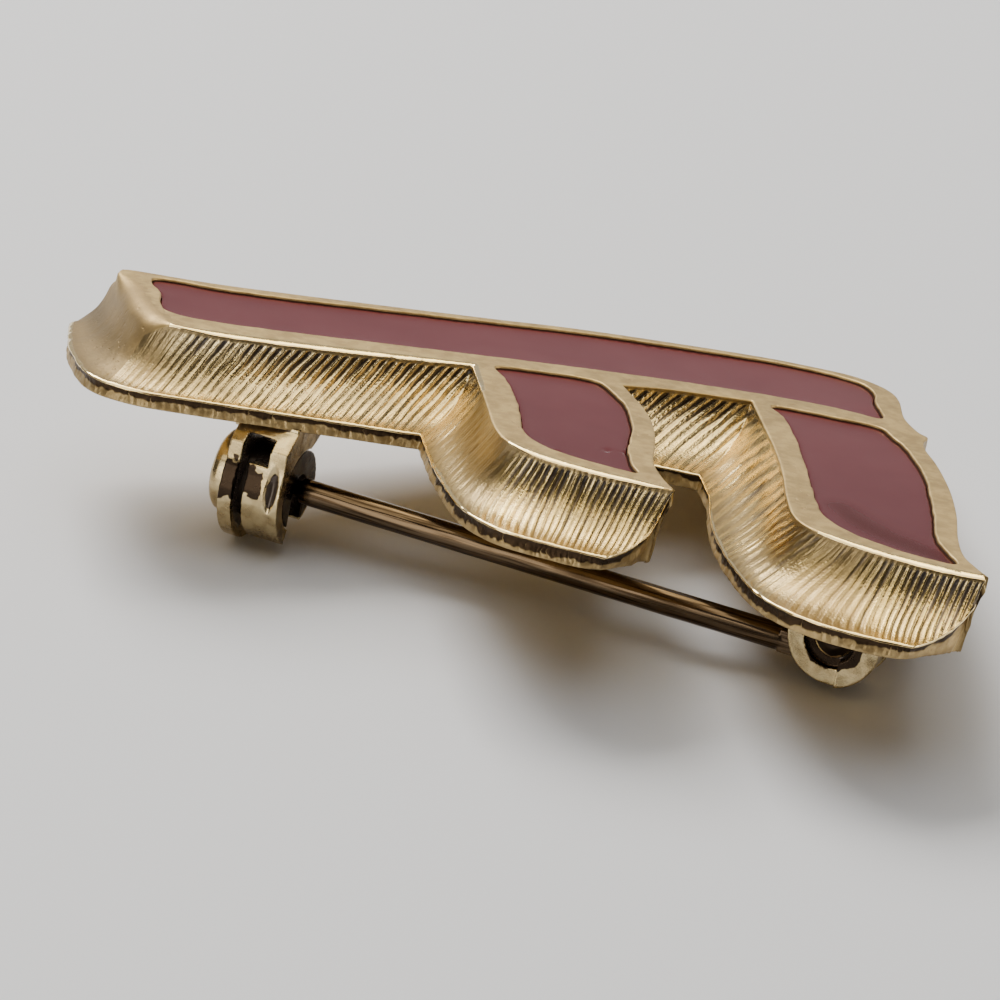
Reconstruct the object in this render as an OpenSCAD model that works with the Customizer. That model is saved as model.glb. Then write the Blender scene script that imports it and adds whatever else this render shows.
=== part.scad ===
// Letter brooch: a cast letter F with scooped sides and three enamel fields.
// A hinged pin and a turning safety catch stand on its back.
// The brooch is drawn as it lies on a table, on its catch, its hinge and one corner.

/* [Letter] */
// Height of the letter, foot to top
letter_h = 34.3; // [33:0.1:36]
// Thickness of the casting
letter_t = 3.1; // [3.0:0.05:3.3]
// Depth of the scooped walls below the face
scoop_depth = 2.4; // [2.2:0.05:2.6]

/* [Enamel] */
// Depth of the pockets in the face
pocket_depth = 0.6; // [0.5:0.05:0.7]
// How far the enamel lies below the face
enamel_sunk = 0.16; // [0.1:0.02:0.3]
// Gap between the enamel and the pocket's wall
enamel_gap = 0.02; // [0.01:0.01:0.04]

/* [Hinge] */
// Diameter of the two hinge ears
ear_d = 3.8; // [3.7:0.05:4]
// Thickness of one ear
ear_t = 0.5; // [0.45:0.05:0.6]
// Space between the two ears
ear_gap = 1.2; // [1.18:0.02:1.3]
// Diameter of the rivet
rivet_d = 0.8; // [0.7:0.05:0.85]
// Diameter of the pin's hub round the rivet
hub_d = 2.7; // [2.6:0.05:2.8]
// Distance from the back to the rivet's axis
rivet_below = 1.7; // [1.7:0.05:1.8]

/* [Pin] */
// Angle between the pin and the letter's stem
pin_angle = 27.5; // [26.5:0.5:28.5]
// Distance from the rivet to the face of the catch
pin_reach = 22.6; // [22.2:0.1:22.8]
// Diameter of the pin wire
wire_d = 1.06; // [0.96:0.02:1.06]
// How far the wire's axis lies below the rivet's axis
wire_drop = 0.95; // [0.9:0.01:1]

/* [Catch] */
// Outer diameter of the catch housing
catch_d = 4.6; // [4.5:0.05:4.7]
// Length of the housing along the pin
catch_l = 2.5; // [2.4:0.05:2.6]
// Diameter of the turning roller
roller_d = 3.2; // [3.1:0.05:3.3]
// Width of the slot that the pin drops out of
slot_w = 1.26; // [1.22:0.02:1.3]
// Thickness of the housing's far cheek
cheek_t = 0.6; // [0.5:0.05:0.65]
// Outer diameter of the far cheek
cheek_d = 5; // [4.7:0.05:5]
// Width of the slit that the lever turns in
slit_w = 0.34; // [0.3:0.02:0.4]
// How far the lever reaches past the roller
lever_l = 1.5; // [1.2:0.1:1.6]

/* [Hidden] */
$fn = 64;
over = 0.01;

gold = [0.80, 0.70, 0.47];
pale_gold = [0.86, 0.78, 0.58];
dark_gold = [0.45, 0.36, 0.24];
mauve = [0.55, 0.34, 0.36];

// How the brooch lies on its catch, its hinge and the letter's top left corner: it is turned
// about the table's X and Y, and then moved until it stands over the origin.
lean_x = -10.4;
lean_y = 8.8;
lie_at = [-16.105, 8.735, 8.63];

// Running clearances, and the loose fit of the rivet in the ears.
roller_clearance = 0.05;
hub_clearance = 0.05;
rivet_fit = 0.02;

// The letter itself lies in the XY plane with its stem along Y and its face at Z = 0.
// Its outline tables are drawn for this height.
drawn_h = 34.3;
// Steps along each stretch of the outline, and steps down a scooped wall.
stretch_steps = 2;
scoop_steps = 5;
field_steps = 3;
// Depth of the first ring on an upright wall.
upright_step = 0.5;
// How far the wall leans in below a tip, and the neighbours on each side that round it there.
tuck_in = 1.1;
easing = 3;

// Rows of a scooped stretch: rim x, rim y, lip x, lip y. The rim is the edge of the face,
// the lip is the outer edge of the scooped wall.
foot_and_stem = [
    [-3.40, 1.00, -3.60, -0.40],
    [-1.80, 1.12, -2.00, -0.60],
    [0.20, 1.30, 0.20, -0.65],
    [1.70, 1.60, 2.00, -0.45],
    [2.70, 1.95, 3.40, -0.10],
    [3.35, 2.60, 4.35, 0.60],
    [3.70, 3.60, 5.00, 2.10],
    [3.80, 5.40, 5.15, 4.60],
    [3.60, 8.00, 5.20, 7.40],
    [3.25, 11.00, 5.20, 10.20],
    [2.70, 15.05, 5.20, 13.10],
];
middle_arm_low_side = [
    [5.00, 15.05, 6.20, 13.12],
    [8.00, 15.02, 8.80, 13.20],
    [10.60, 15.02, 11.30, 13.45],
    [12.10, 15.30, 13.30, 13.75],
    [13.05, 16.00, 14.70, 14.35],
    [13.80, 17.10, 15.75, 15.40],
    [14.45, 18.50, 16.45, 16.90],
    [14.90, 20.00, 16.90, 18.20],
    [15.30, 21.35, 17.05, 18.95],
];
between_arms = [
    [2.40, 21.20, 4.60, 21.70],
    [2.00, 23.20, 4.70, 22.80],
    [1.80, 26.60, 5.10, 24.40],
];
top_arm_low_side = [
    [5.00, 26.55, 7.50, 24.40],
    [8.00, 26.50, 10.00, 24.05],
    [11.00, 26.30, 12.60, 23.85],
    [14.00, 25.95, 15.20, 23.95],
    [16.20, 25.85, 17.60, 24.25],
    [17.40, 26.25, 19.20, 24.75],
    [18.15, 27.10, 20.40, 25.60],
    [18.95, 28.30, 21.30, 26.80],
    [19.60, 29.60, 21.80, 28.10],
    [20.05, 31.00, 22.05, 29.10],
    [20.30, 32.50, 22.20, 29.80],
];
// Rows of an upright stretch: x, y.
middle_arm_top_side = [
    [15.26, 21.42],
    [14.00, 21.15],
    [12.20, 21.05],
    [10.40, 21.35],
    [8.60, 21.62],
    [6.80, 21.75],
    [5.00, 21.66],
];
top_and_left_side = [
    [20.22, 32.60],
    [19.20, 32.30],
    [18.00, 32.10],
    [16.00, 32.30],
    [13.00, 32.85],
    [10.00, 33.20],
    [7.00, 33.30],
    [5.00, 33.20],
    [4.00, 33.35],
    [3.30, 33.65],
    [2.70, 33.35],
    [1.00, 33.12],
    [-1.20, 33.35],
    [-2.40, 33.25],
    [-3.30, 32.75],
    [-4.05, 31.85],
    [-4.50, 30.20],
    [-4.85, 27.40],
    [-4.80, 20.80],
    [-4.30, 16.50],
    [-3.85, 12.50],
    [-3.40, 8.00],
    [-3.20, 5.00],
    [-3.30, 2.50],
    [-3.42, 1.05],
];

// Corner points of the enamel fields, x and y, each joined by one smooth closed curve.
stem_field = [
    [-2.70, 2.62], [-0.60, 2.72], [0.80, 2.66], [1.70, 2.90], [2.12, 3.80], [2.16, 6.00],
    [1.80, 10.00], [1.50, 12.80], [1.15, 16.00], [0.75, 20.50], [0.60, 26.00], [0.85, 29.30],
    [1.25, 31.00], [1.45, 32.10], [-0.60, 32.25], [-2.30, 32.40], [-3.30, 31.95],
    [-3.95, 30.60], [-4.42, 28.00], [-4.38, 21.00], [-3.90, 17.00], [-3.32, 12.60],
    [-2.82, 8.50], [-2.62, 5.50],
];
middle_arm_field = [
    [2.45, 16.10], [3.80, 16.20], [5.50, 16.36], [8.00, 16.36], [10.00, 16.20], [11.30, 16.38],
    [12.40, 17.10], [13.15, 18.30], [13.65, 19.50], [13.75, 20.20], [12.60, 20.10],
    [11.00, 20.22], [9.00, 20.62], [7.00, 20.88], [5.00, 20.88], [3.40, 20.55], [2.30, 20.05],
    [2.20, 18.00],
];
top_arm_field = [
    [2.05, 27.50], [3.50, 27.66], [6.00, 27.70], [9.50, 27.50], [12.00, 27.28], [14.50, 27.10],
    [15.80, 27.20], [16.85, 27.62], [17.75, 28.42], [18.50, 29.50], [19.02, 30.60],
    [19.12, 31.60], [17.60, 31.46], [16.00, 31.42], [14.00, 31.76], [11.00, 32.20],
    [8.00, 32.48], [5.50, 32.38], [3.80, 32.06], [2.75, 31.65], [2.35, 30.00],
];

// Smooth curve from b to c, with a and d as their neighbours.
function blend(a, b, c, d, t) = b + 0.5 * t * ((c - a) + t * ((2 * a - 5 * b + 4 * c - d)
    + t * (3 * b - a - 3 * c + d)));
function past(rows, i) = i < 0 ? 2 * rows[0] - rows[1]
    : i == len(rows) ? 2 * rows[i - 1] - rows[i - 2] : rows[i];
function open_curve(rows, steps) = [for (i = [0 : len(rows) - 2], k = [0 : steps - 1])
    blend(past(rows, i - 1), rows[i], rows[i + 1], past(rows, i + 2), k / steps),
    rows[len(rows) - 1]];
function closed_curve(rows, steps) = let (n = len(rows)) [for (i = [0 : n - 1], k = [0 : steps - 1])
    blend(rows[(i + n - 1) % n], rows[i], rows[(i + 1) % n], rows[(i + 2) % n], k / steps)];
function sized(rows) = rows * letter_h / drawn_h;
// Direction that points out of an outline at its point i.
function outward(pts, i) = let (n = len(pts), along = pts[(i + 1) % n] - pts[(i + n - 1) % n])
    [along[1], -along[0]] / norm(along);

// Stations of the outline: rim x, rim y, lip x, lip y, depth of the lip, and the share of the
// way down the scoop that the wall reaches there. At a tip, the lip climbs up to the face.
function scooped(rows) = [for (r = open_curve(sized(rows), stretch_steps))
    concat(r, [scoop_depth, 1])];
function climbing(row) = [for (k = [1 : scoop_steps - 1])
    concat(sized(row), [scoop_depth, 1 - k / scoop_steps])];
function upright(rows) = [for (r = open_curve(sized(rows), stretch_steps))
    concat(r, r, [upright_step, 1])];
function backwards(list) = [for (i = [len(list) - 1 : -1 : 0]) list[i]];
function last(list) = list[len(list) - 1];
stations = concat(
    backwards(climbing(foot_and_stem[0])), scooped(foot_and_stem),
    scooped(middle_arm_low_side), climbing(last(middle_arm_low_side)),
    upright(middle_arm_top_side), scooped(between_arms),
    scooped(top_arm_low_side), climbing(last(top_arm_low_side)),
    upright(top_and_left_side));
count = len(stations);

// One ring of the casting's wall, from the rim at 0 to the lip at 1.
function wall_ring(share) = [for (s = stations) let (turned = 90 * min(share, s[5]))
    [s[0] + (s[2] - s[0]) * (1 - cos(turned)), s[1] + (s[3] - s[1]) * (1 - cos(turned)),
        -s[4] * sin(turned)]];
lip_outline = [for (p = wall_ring(1)) [p[0], p[1]]];
function around(i) = [for (k = [-easing : easing]) (i + k + count) % count];
function tip_share(i) = len([for (k = around(i)) if (stations[k][5] < 1) k]) / (2 * easing + 1);
function tucked(i) = lip_outline[i] - tuck_in * tip_share(i) * outward(lip_outline, i);
function mean(points) = [for (p = points) 1] * points / len(points);
back_outline = [for (i = [0 : count - 1]) (1 - tip_share(i)) * lip_outline[i]
    + tip_share(i) * mean([for (k = around(i)) tucked(k)])];
back_ring = [for (p = back_outline) concat(p, -letter_t)];
rings = concat([for (j = [0 : scoop_steps]) wall_ring(j / scoop_steps)], [back_ring]);

// Triangles that fill a flat outline: one corner after the other is cut off.
function turn(a, b, c) = (b[0] - a[0]) * (c[1] - a[1]) - (b[1] - a[1]) * (c[0] - a[0]);
function holds(a, b, c, p) = turn(a, b, p) >= 0 && turn(b, c, p) >= 0 && turn(c, a, p) >= 0;
function can_cut(pts, a, b, c, ids) = turn(pts[a], pts[b], pts[c]) > 0 && len([for (k = ids)
    if (k != a && k != b && k != c && holds(pts[a], pts[b], pts[c], pts[k])) k]) == 0;
function fill(pts, ids, i = 0, done = []) = let (n = len(ids), a = ids[(i + n - 1) % n],
    b = ids[i % n], c = ids[(i + 1) % n])
    n == 3 ? concat(done, [[a, b, c]])
    : can_cut(pts, a, b, c, ids) ? fill(pts, [for (k = ids) if (k != b) k], i % (n - 1),
        concat(done, [[a, b, c]]))
    : fill(pts, ids, (i + 1) % n, done);

module lying() {
    translate(lie_at) rotate([lean_x, lean_y, 0]) rotate([0, 0, -90]) children();
}

// Cast letter
module casting() {
    levels = len(rings);
    points = [for (r = rings) each r];
    sides = [for (j = [0 : levels - 2], i = [0 : count - 1]) let (k = (i + 1) % count)
        each [[j * count + i, j * count + k, (j + 1) * count + k],
            [j * count + i, (j + 1) * count + k, (j + 1) * count + i]]];
    // Where the lip climbs, neighbouring points fall together and leave faces without area.
    real_sides = [for (f = sides) if (norm(cross(points[f[1]] - points[f[0]],
        points[f[2]] - points[f[0]])) > 0.00001) f];
    ids = [for (i = [0 : count - 1]) i];
    // At a tip, the rim's points fall together too, and the face takes only one of them.
    rim_ids = [for (i = ids) if (norm(rings[0][i] - rings[0][(i + 1) % count]) > 0.00001) i];
    face = [for (t = fill(rings[0], rim_ids)) backwards(t)];
    back = [for (t = fill(back_ring, ids)) [for (i = t) i + (levels - 1) * count]];
    polyhedron(points, concat(real_sides, face, back));
}

module pocket(field) {
    outline = closed_curve(sized(field), field_steps);
    translate([0, 0, -pocket_depth]) linear_extrude(pocket_depth + over)
        polygon([for (i = [0 : len(outline) - 1]) outline[i] + enamel_gap * outward(outline, i)]);
}

module enamel(field) {
    color(mauve) lying() translate([0, 0, -pocket_depth])
        linear_extrude(pocket_depth - enamel_sunk)
            polygon(closed_curve(sized(field), field_steps));
}

// Hinge: X runs from the rivet to the catch, and Y along the rivet to the letter's right.
hinge_at = concat(sized([14.57, 29.1]), -letter_t - rivet_below);
hinge_l = ear_gap + 2 * ear_t;
hub_w = ear_gap - 2 * hub_clearance;
plate_t = 0.25;
// How far a soldered piece sinks into the casting.
solder = 0.3;
plate_l = 4.8;
plate_rim = 0.2;
neck_w = 3.2;
dish_d = 2.4;
dish_depth = 0.2;
lug_t = 0.3;
lug_from = 0.4;
head_d = 1.6;
head_t = 0.3;
head_room = 0.1;

module at_hinge() {
    translate(hinge_at) rotate([0, 0, -90 - pin_angle]) children();
}

// Stands round things up along the rivet.
module along_rivet(from) {
    translate([0, from, 0]) rotate([-90, 0, 0]) children();
}

module hinge_ears() {
    at_hinge() difference() {
        union() {
            for (side = [-1, 1]) along_rivet(side * (ear_gap + ear_t) / 2 - ear_t / 2) {
                cylinder(d = ear_d, h = ear_t);
                translate([-neck_w / 2, -rivet_below - solder, 0])
                    cube([neck_w, rivet_below + solder, ear_t]);
            }
            translate([-plate_l / 2, -hinge_l / 2 - plate_rim, rivet_below - plate_t])
                cube([plate_l, hinge_l + 2 * plate_rim, plate_t + solder]);
            // Raised lug on the outside of the right ear
            along_rivet(hinge_l / 2 - ear_t) difference() {
                cylinder(d = ear_d, h = ear_t + lug_t);
                translate([-lug_from, -ear_d, -1]) cube([2 * ear_d, 2 * ear_d, 2 + ear_t + lug_t]);
            }
        }
        along_rivet(-hinge_l) cylinder(d = rivet_d + 2 * rivet_fit, h = 2 * hinge_l);
        // Dished seats of the rivet's heads; the lug covers a part of the right one.
        along_rivet(-hinge_l / 2 - 1 + dish_depth) cylinder(d = dish_d, h = 1);
        along_rivet(hinge_l / 2 - dish_depth) {
            cylinder(d = head_d + 2 * head_room, h = 1);
            difference() {
                cylinder(d = dish_d, h = 1);
                translate([-dish_d - lug_from, -dish_d, -1]) cube([dish_d, 2 * dish_d, 3]);
            }
        }
    }
}

module hinge_rivet() {
    shank = hinge_l - 2 * dish_depth + 2 * rivet_fit;
    color(pale_gold) lying() at_hinge() for (side = [0, 180]) rotate([0, 0, side]) {
        along_rivet(0) cylinder(d = rivet_d, h = shank / 2 + head_t / 2);
        along_rivet(shank / 2) {
            cylinder(d = head_d, h = head_t / 2);
            translate([0, 0, head_t / 2]) cylinder(d1 = head_d, d2 = head_d / 2, h = head_t / 2);
        }
    }
}

// Pin: its flattened root, its wire, and the thinner end that the catch holds
root_w = 1;
root_h = 0.9;
root_l = 2.3;
shoulder = 0.1;
tip_d = 0.7;
tip_in = 1.1;
point_l = 0.6;

module pin_stem() {
    color(dark_gold) lying() at_hinge() difference() {
        union() {
            along_rivet(-hub_w / 2) cylinder(d = hub_d, h = hub_w);
            translate([0, -root_w / 2, -wire_drop - root_h / 2]) cube([root_l, root_w, root_h]);
            translate([0, 0, -wire_drop]) rotate([0, 90, 0]) rotate_extrude() polygon([
                [0, root_l - shoulder], [wire_d / 2, root_l - shoulder],
                [wire_d / 2, pin_reach - shoulder],
                [tip_d / 2, pin_reach - shoulder], [tip_d / 2, pin_reach + tip_in],
                [tip_d / 8, pin_reach + tip_in + point_l], [0, pin_reach + tip_in + point_l]]);
        }
        along_rivet(-hub_w) cylinder(d = rivet_d + 2 * hub_clearance, h = 2 * hub_w);
    }
}

// Safety catch: Z runs on along the pin, X points to the letter's right and Y to its back.
catch_rise = rivet_below + wire_drop;
catch_plate_t = 0.4;
catch_plate_rim = 0.25;
// The block between ring and plate, from its right side over its top to its left side.
block = [[2.2, 0.5], [2.15, 1.9], [1.3, catch_rise], [-1.6, catch_rise], [-2.1, 0.8]];
bore_r = roller_d / 2 + roller_clearance;
// The far cheek is a closed ring. The rest of the housing is open from this throat beside the
// pin, over the left side and round to the lower right.
throat = [1.15, 0.72];
mouth_end = -68;
column_t = 0.75;
window_from = [-0.9, 1.2];
slit_at = catch_l - cheek_t - slit_w;
lever_play = 0.04;
lever_angle = 165;
lever_w = 0.9;
pin_bore_d = 1.24;
bore_end = 2.2;
cap_d = 3.4;
cap_t = 0.8;
cap_round = 0.35;
cap_at = catch_l + roller_clearance;

module at_catch() {
    at_hinge() translate([pin_reach, 0, -wire_drop]) rotate([90, 0, 90]) children();
}

function on_circle(r, angle) = r * [cos(angle), sin(angle)];

module catch_housing() {
    under_plate = catch_rise - catch_plate_t;
    at_catch() {
        difference() {
            union() {
                cylinder(d = catch_d, h = catch_l);
                translate([0, 0, catch_l - cheek_t]) cylinder(d = cheek_d, h = cheek_t);
                linear_extrude(catch_l) polygon(concat([[0, 0]], block));
            }
            translate([0, 0, -over]) cylinder(r = bore_r, h = catch_l + 2 * over);
            translate([0, 0, -over]) linear_extrude(slit_at + 2 * over) polygon([[0, 0], throat,
                [block[3][0], under_plate], [-catch_d, under_plate], [-catch_d, -catch_d],
                on_circle(catch_d, mouth_end)]);
            translate([-catch_d, -catch_d, slit_at])
                cube([2 * catch_d, catch_d + under_plate, slit_w]);
            translate([window_from[0], window_from[1], column_t])
                cube([catch_d, under_plate - window_from[1], slit_at + slit_w - column_t]);
        }
        translate([block[3][0] - catch_plate_rim, under_plate, 0])
            cube([block[2][0] - block[3][0] + catch_plate_rim, catch_plate_t + solder,
                catch_l + catch_plate_rim]);
    }
}

module catch_roller() {
    color(pale_gold) lying() at_catch() {
        difference() {
            union() {
                translate([0, 0, roller_clearance]) cylinder(d = roller_d, h = catch_l);
                rotate([0, 0, lever_angle]) translate([0, -lever_w / 2, slit_at + lever_play])
                    cube([roller_d / 2 + lever_l, lever_w, slit_w - 2 * lever_play]);
            }
            translate([0, 0, -1]) cylinder(d = pin_bore_d, h = bore_end + 1);
            translate([-slot_w / 2, -catch_d, -1]) cube([slot_w, catch_d, bore_end + 1]);
        }
        translate([0, 0, cap_at]) rotate_extrude() polygon(concat([[0, 0], [cap_d / 2, 0]],
            [for (a = [0 : 30 : 90]) [cap_d / 2 - cap_round, cap_t - cap_round]
                + on_circle(cap_round, a)], [[0, cap_t]]));
    }
}

module letter_frame() {
    color(gold) lying() difference() {
        union() {
            casting();
            hinge_ears();
            catch_housing();
        }
        pocket(stem_field);
        pocket(middle_arm_field);
        pocket(top_arm_field);
    }
}

module stem_enamel() {
    enamel(stem_field);
}

module middle_arm_enamel() {
    enamel(middle_arm_field);
}

module top_arm_enamel() {
    enamel(top_arm_field);
}

letter_frame();
stem_enamel();
middle_arm_enamel();
top_arm_enamel();
hinge_rivet();
pin_stem();
catch_roller();
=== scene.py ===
import itertools
import math

import bmesh
import bpy
import numpy as np
from mathutils import Matrix, Vector
from mathutils.bvhtree import BVHTree
from mathutils.geometry import delaunay_2d_cdt


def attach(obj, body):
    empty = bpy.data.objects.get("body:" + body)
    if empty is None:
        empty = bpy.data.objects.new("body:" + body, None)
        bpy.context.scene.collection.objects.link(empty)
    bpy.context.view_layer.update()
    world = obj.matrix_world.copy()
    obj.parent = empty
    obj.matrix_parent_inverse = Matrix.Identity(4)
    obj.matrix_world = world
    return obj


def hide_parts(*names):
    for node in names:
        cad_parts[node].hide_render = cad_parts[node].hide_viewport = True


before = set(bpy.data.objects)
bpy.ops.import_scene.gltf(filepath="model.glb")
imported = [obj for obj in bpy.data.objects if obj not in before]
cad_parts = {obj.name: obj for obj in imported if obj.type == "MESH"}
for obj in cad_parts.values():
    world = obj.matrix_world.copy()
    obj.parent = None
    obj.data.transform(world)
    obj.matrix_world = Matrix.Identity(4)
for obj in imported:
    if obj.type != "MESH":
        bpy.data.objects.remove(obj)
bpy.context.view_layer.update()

# Everything is drawn in millimetres in the letter's own frame: X to the letter's right, Y up
# its stem, Z out of its face. LETTER carries that frame to the table.
MM = 0.001


def turn(degrees, axis):
    return Matrix.Rotation(math.radians(degrees), 4, axis)


LEAN = turn(8.8, "Y") @ turn(-10.4, "X")
LYING = Matrix.Scale(MM, 4) @ Matrix.Translation((-16.105, 8.735, 8.63)) @ LEAN
LETTER = LYING @ turn(-90, "Z")
LETTER_WAYS = (LEAN @ turn(-90, "Z")).to_3x3()

CASTING_T, SCOOP_DEPTH, POCKET_DEPTH, ENAMEL_SUNK = 3.1, 2.4, 0.6, 0.16
PIN_REACH, WIRE_R, WIRE_DROP = 22.6, 0.53, 0.95
HINGE = Matrix.Translation((14.57, 29.1, -4.8)) @ turn(-117.5, "Z")
CATCH = HINGE @ Matrix.Translation((PIN_REACH, 0, -WIRE_DROP)) @ turn(90, "Z") @ turn(90, "X")

# Rows of a scooped stretch of the outline: rim x, rim y, lip x, lip y.
FOOT_AND_STEM = [
    (-3.4, 1, -3.6, -0.4), (-1.8, 1.12, -2, -0.6), (0.2, 1.3, 0.2, -0.65), (1.7, 1.6, 2, -0.45),
    (2.7, 1.95, 3.4, -0.1), (3.35, 2.6, 4.35, 0.6), (3.7, 3.6, 5, 2.1), (3.8, 5.4, 5.15, 4.6),
    (3.6, 8, 5.2, 7.4), (3.25, 11, 5.2, 10.2), (2.7, 15.05, 5.2, 13.1)]
MIDDLE_ARM_LOW_SIDE = [
    (5, 15.05, 6.2, 13.12), (8, 15.02, 8.8, 13.2), (10.6, 15.02, 11.3, 13.45),
    (12.1, 15.3, 13.3, 13.75), (13.05, 16, 14.7, 14.35), (13.8, 17.1, 15.75, 15.4),
    (14.45, 18.5, 16.45, 16.9), (14.9, 20, 16.9, 18.2), (15.3, 21.35, 17.05, 18.95)]
BETWEEN_ARMS = [
    (2.4, 21.2, 4.6, 21.7), (2, 23.2, 4.7, 22.8), (1.8, 26.6, 5.1, 24.4)]
TOP_ARM_LOW_SIDE = [
    (5, 26.55, 7.5, 24.4), (8, 26.5, 10, 24.05), (11, 26.3, 12.6, 23.85), (14, 25.95, 15.2, 23.95),
    (16.2, 25.85, 17.6, 24.25), (17.4, 26.25, 19.2, 24.75), (18.15, 27.1, 20.4, 25.6),
    (18.95, 28.3, 21.3, 26.8), (19.6, 29.6, 21.8, 28.1), (20.05, 31, 22.05, 29.1),
    (20.3, 32.5, 22.2, 29.8)]
# Rows of an upright stretch: x, y.
MIDDLE_ARM_TOP_SIDE = [
    (15.26, 21.42), (14, 21.15), (12.2, 21.05), (10.4, 21.35), (8.6, 21.62), (6.8, 21.75),
    (5, 21.66)]
TOP_AND_LEFT_SIDE = [
    (20.22, 32.6), (19.2, 32.3), (18, 32.1), (16, 32.3), (13, 32.85), (10, 33.2), (7, 33.3),
    (5, 33.2), (4, 33.35), (3.3, 33.65), (2.7, 33.35), (1, 33.12), (-1.2, 33.35), (-2.4, 33.25),
    (-3.3, 32.75), (-4.05, 31.85), (-4.5, 30.2), (-4.85, 27.4), (-4.8, 20.8), (-4.3, 16.5),
    (-3.85, 12.5), (-3.4, 8), (-3.2, 5), (-3.3, 2.5), (-3.42, 1.05)]
# Corner points of the enamel fields, joined by one smooth closed curve.
FIELDS = {
    "stem_enamel": [
        (-2.7, 2.62), (-0.6, 2.72), (0.8, 2.66), (1.7, 2.9), (2.12, 3.8), (2.16, 6), (1.8, 10),
        (1.5, 12.8), (1.15, 16), (0.75, 20.5), (0.6, 26), (0.85, 29.3), (1.25, 31), (1.45, 32.1),
        (-0.6, 32.25), (-2.3, 32.4), (-3.3, 31.95), (-3.95, 30.6), (-4.42, 28), (-4.38, 21),
        (-3.9, 17), (-3.32, 12.6), (-2.82, 8.5), (-2.62, 5.5)],
    "middle_arm_enamel": [
        (2.45, 16.1), (3.8, 16.2), (5.5, 16.36), (8, 16.36), (10, 16.2), (11.3, 16.38),
        (12.4, 17.1), (13.15, 18.3), (13.65, 19.5), (13.75, 20.2), (12.6, 20.1), (11, 20.22),
        (9, 20.62), (7, 20.88), (5, 20.88), (3.4, 20.55), (2.3, 20.05), (2.2, 18)],
    "top_arm_enamel": [
        (2.05, 27.5), (3.5, 27.66), (6, 27.7), (9.5, 27.5), (12, 27.28), (14.5, 27.1),
        (15.8, 27.2), (16.85, 27.62), (17.75, 28.42), (18.5, 29.5), (19.02, 30.6), (19.12, 31.6),
        (17.6, 31.46), (16, 31.42), (14, 31.76), (11, 32.2), (8, 32.48), (5.5, 32.38),
        (3.8, 32.06), (2.75, 31.65), (2.35, 30)]}


def placed(name, data):
    """A new object in the scene."""
    made = bpy.data.objects.new(name, data)
    bpy.context.scene.collection.objects.link(made)
    return made


def photo_camera():
    """Camera at the photograph's angle, given as it stands to the letter."""
    axes = Matrix(((0.97561, -0.14407, -0.16561), (-0.11149, 0.32469, -0.93923),
        (0.18908, 0.93479, 0.30071))).to_4x4()
    data = bpy.data.cameras.new("photo_camera")
    data.lens, data.sensor_width, data.clip_start = 180, 36, 0.01
    camera = placed("photo_camera", data)
    camera.matrix_world = (Matrix.Translation(LYING @ Vector((-15.859, -190.191, 54.612)))
        @ LEAN @ axes)
    bpy.context.scene.camera = camera


photo_camera()


# Random numbers that are the same on each run
CHANCES = np.random.default_rng(31).random(8192)


def chance(*cells):
    """One number from 0 to 1 for each cell of a lattice."""
    mixed = np.int64(0)
    for cell, prime in zip(cells, (73856093, 19349663, 83492791, 49979687)):
        mixed = mixed ^ (np.asarray(cell).astype(np.int64) * prime)
    return CHANCES[(mixed ^ (mixed >> 11)) & 8191]


def drift(seed, size, *at):
    """A smooth random field from -1 to 1, with lumps of that size."""
    low = [np.floor(np.asarray(a) / size) for a in at]
    part = [np.asarray(a) / size - l for a, l in zip(at, low)]
    part = [p * p * (3 - 2 * p) for p in part]
    total = 0
    for corner in itertools.product((0, 1), repeat=len(at)):
        share = 1
        for c, p in zip(corner, part):
            share = share * (p if c else 1 - p)
        total = total + share * chance(seed, *[l + c for l, c in zip(low, corner)])
    return 2 * total - 1


def speckle(seed, size, *at):
    """A smooth random field from 0 to 1."""
    return 0.5 + 0.5 * drift(seed, size, *at)


def ease(x, start, end):
    """Rises smoothly from 0 at start to 1 at end."""
    t = np.clip((np.asarray(x, float) - start) / (end - start), 0, 1)
    return t * t * (3 - 2 * t)


def length(steps):
    return np.linalg.norm(steps, axis=-1)


def unit(steps):
    return steps / np.maximum(length(steps)[..., None], 1e-9)


def walked(points):
    """How far along a line each of its points lies."""
    return np.concatenate([[0], np.cumsum(length(np.diff(points, axis=0)))])


def evened(rows, rounds, own):
    """Values round an outline, each drawn toward its neighbours."""
    for _ in range(rounds):
        rows = (np.roll(rows, 1, 0) + rows * own + np.roll(rows, -1, 0)) / (2 + own)
    return rows


def at_height(flat, z):
    return np.column_stack([flat, np.broadcast_to(z, len(flat))])


# Outline of the casting
def through(a, b, c, d, t):
    """A point between b and c of the smooth curve through four rows."""
    curl = 2 * a - 5 * b + 4 * c - d + t * (3 * b - a - 3 * c + d)
    return b + 0.5 * t * (c - a + t * curl)


def open_curve(table, spacing=None):
    """Points of a smooth curve through a table's rows, and the row that each is at."""
    rows = np.array(table, float)
    rows = np.vstack([2 * rows[0] - rows[1], rows, 2 * rows[-1] - rows[-2]])
    points, places = [], []
    for i in range(1, len(rows) - 2):
        steps = 2
        if spacing:
            step = rows[i + 1] - rows[i]
            reach = max(np.hypot(*step[k:k + 2]) for k in range(0, len(step), 2))
            steps = max(2, math.ceil(reach / spacing))
        for k in range(steps):
            points.append(through(*rows[i - 1:i + 3], k / steps))
            places.append(i - 1 + k / steps)
    return np.vstack([points, rows[-2]]), np.append(places, len(rows) - 3)


def closed_curve(table, steps):
    rows = np.array(table, float)
    n = len(rows)
    return np.array([through(rows[i - 1], rows[i], rows[(i + 1) % n], rows[(i + 2) % n], k / steps)
        for i in range(n) for k in range(steps)])


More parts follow.
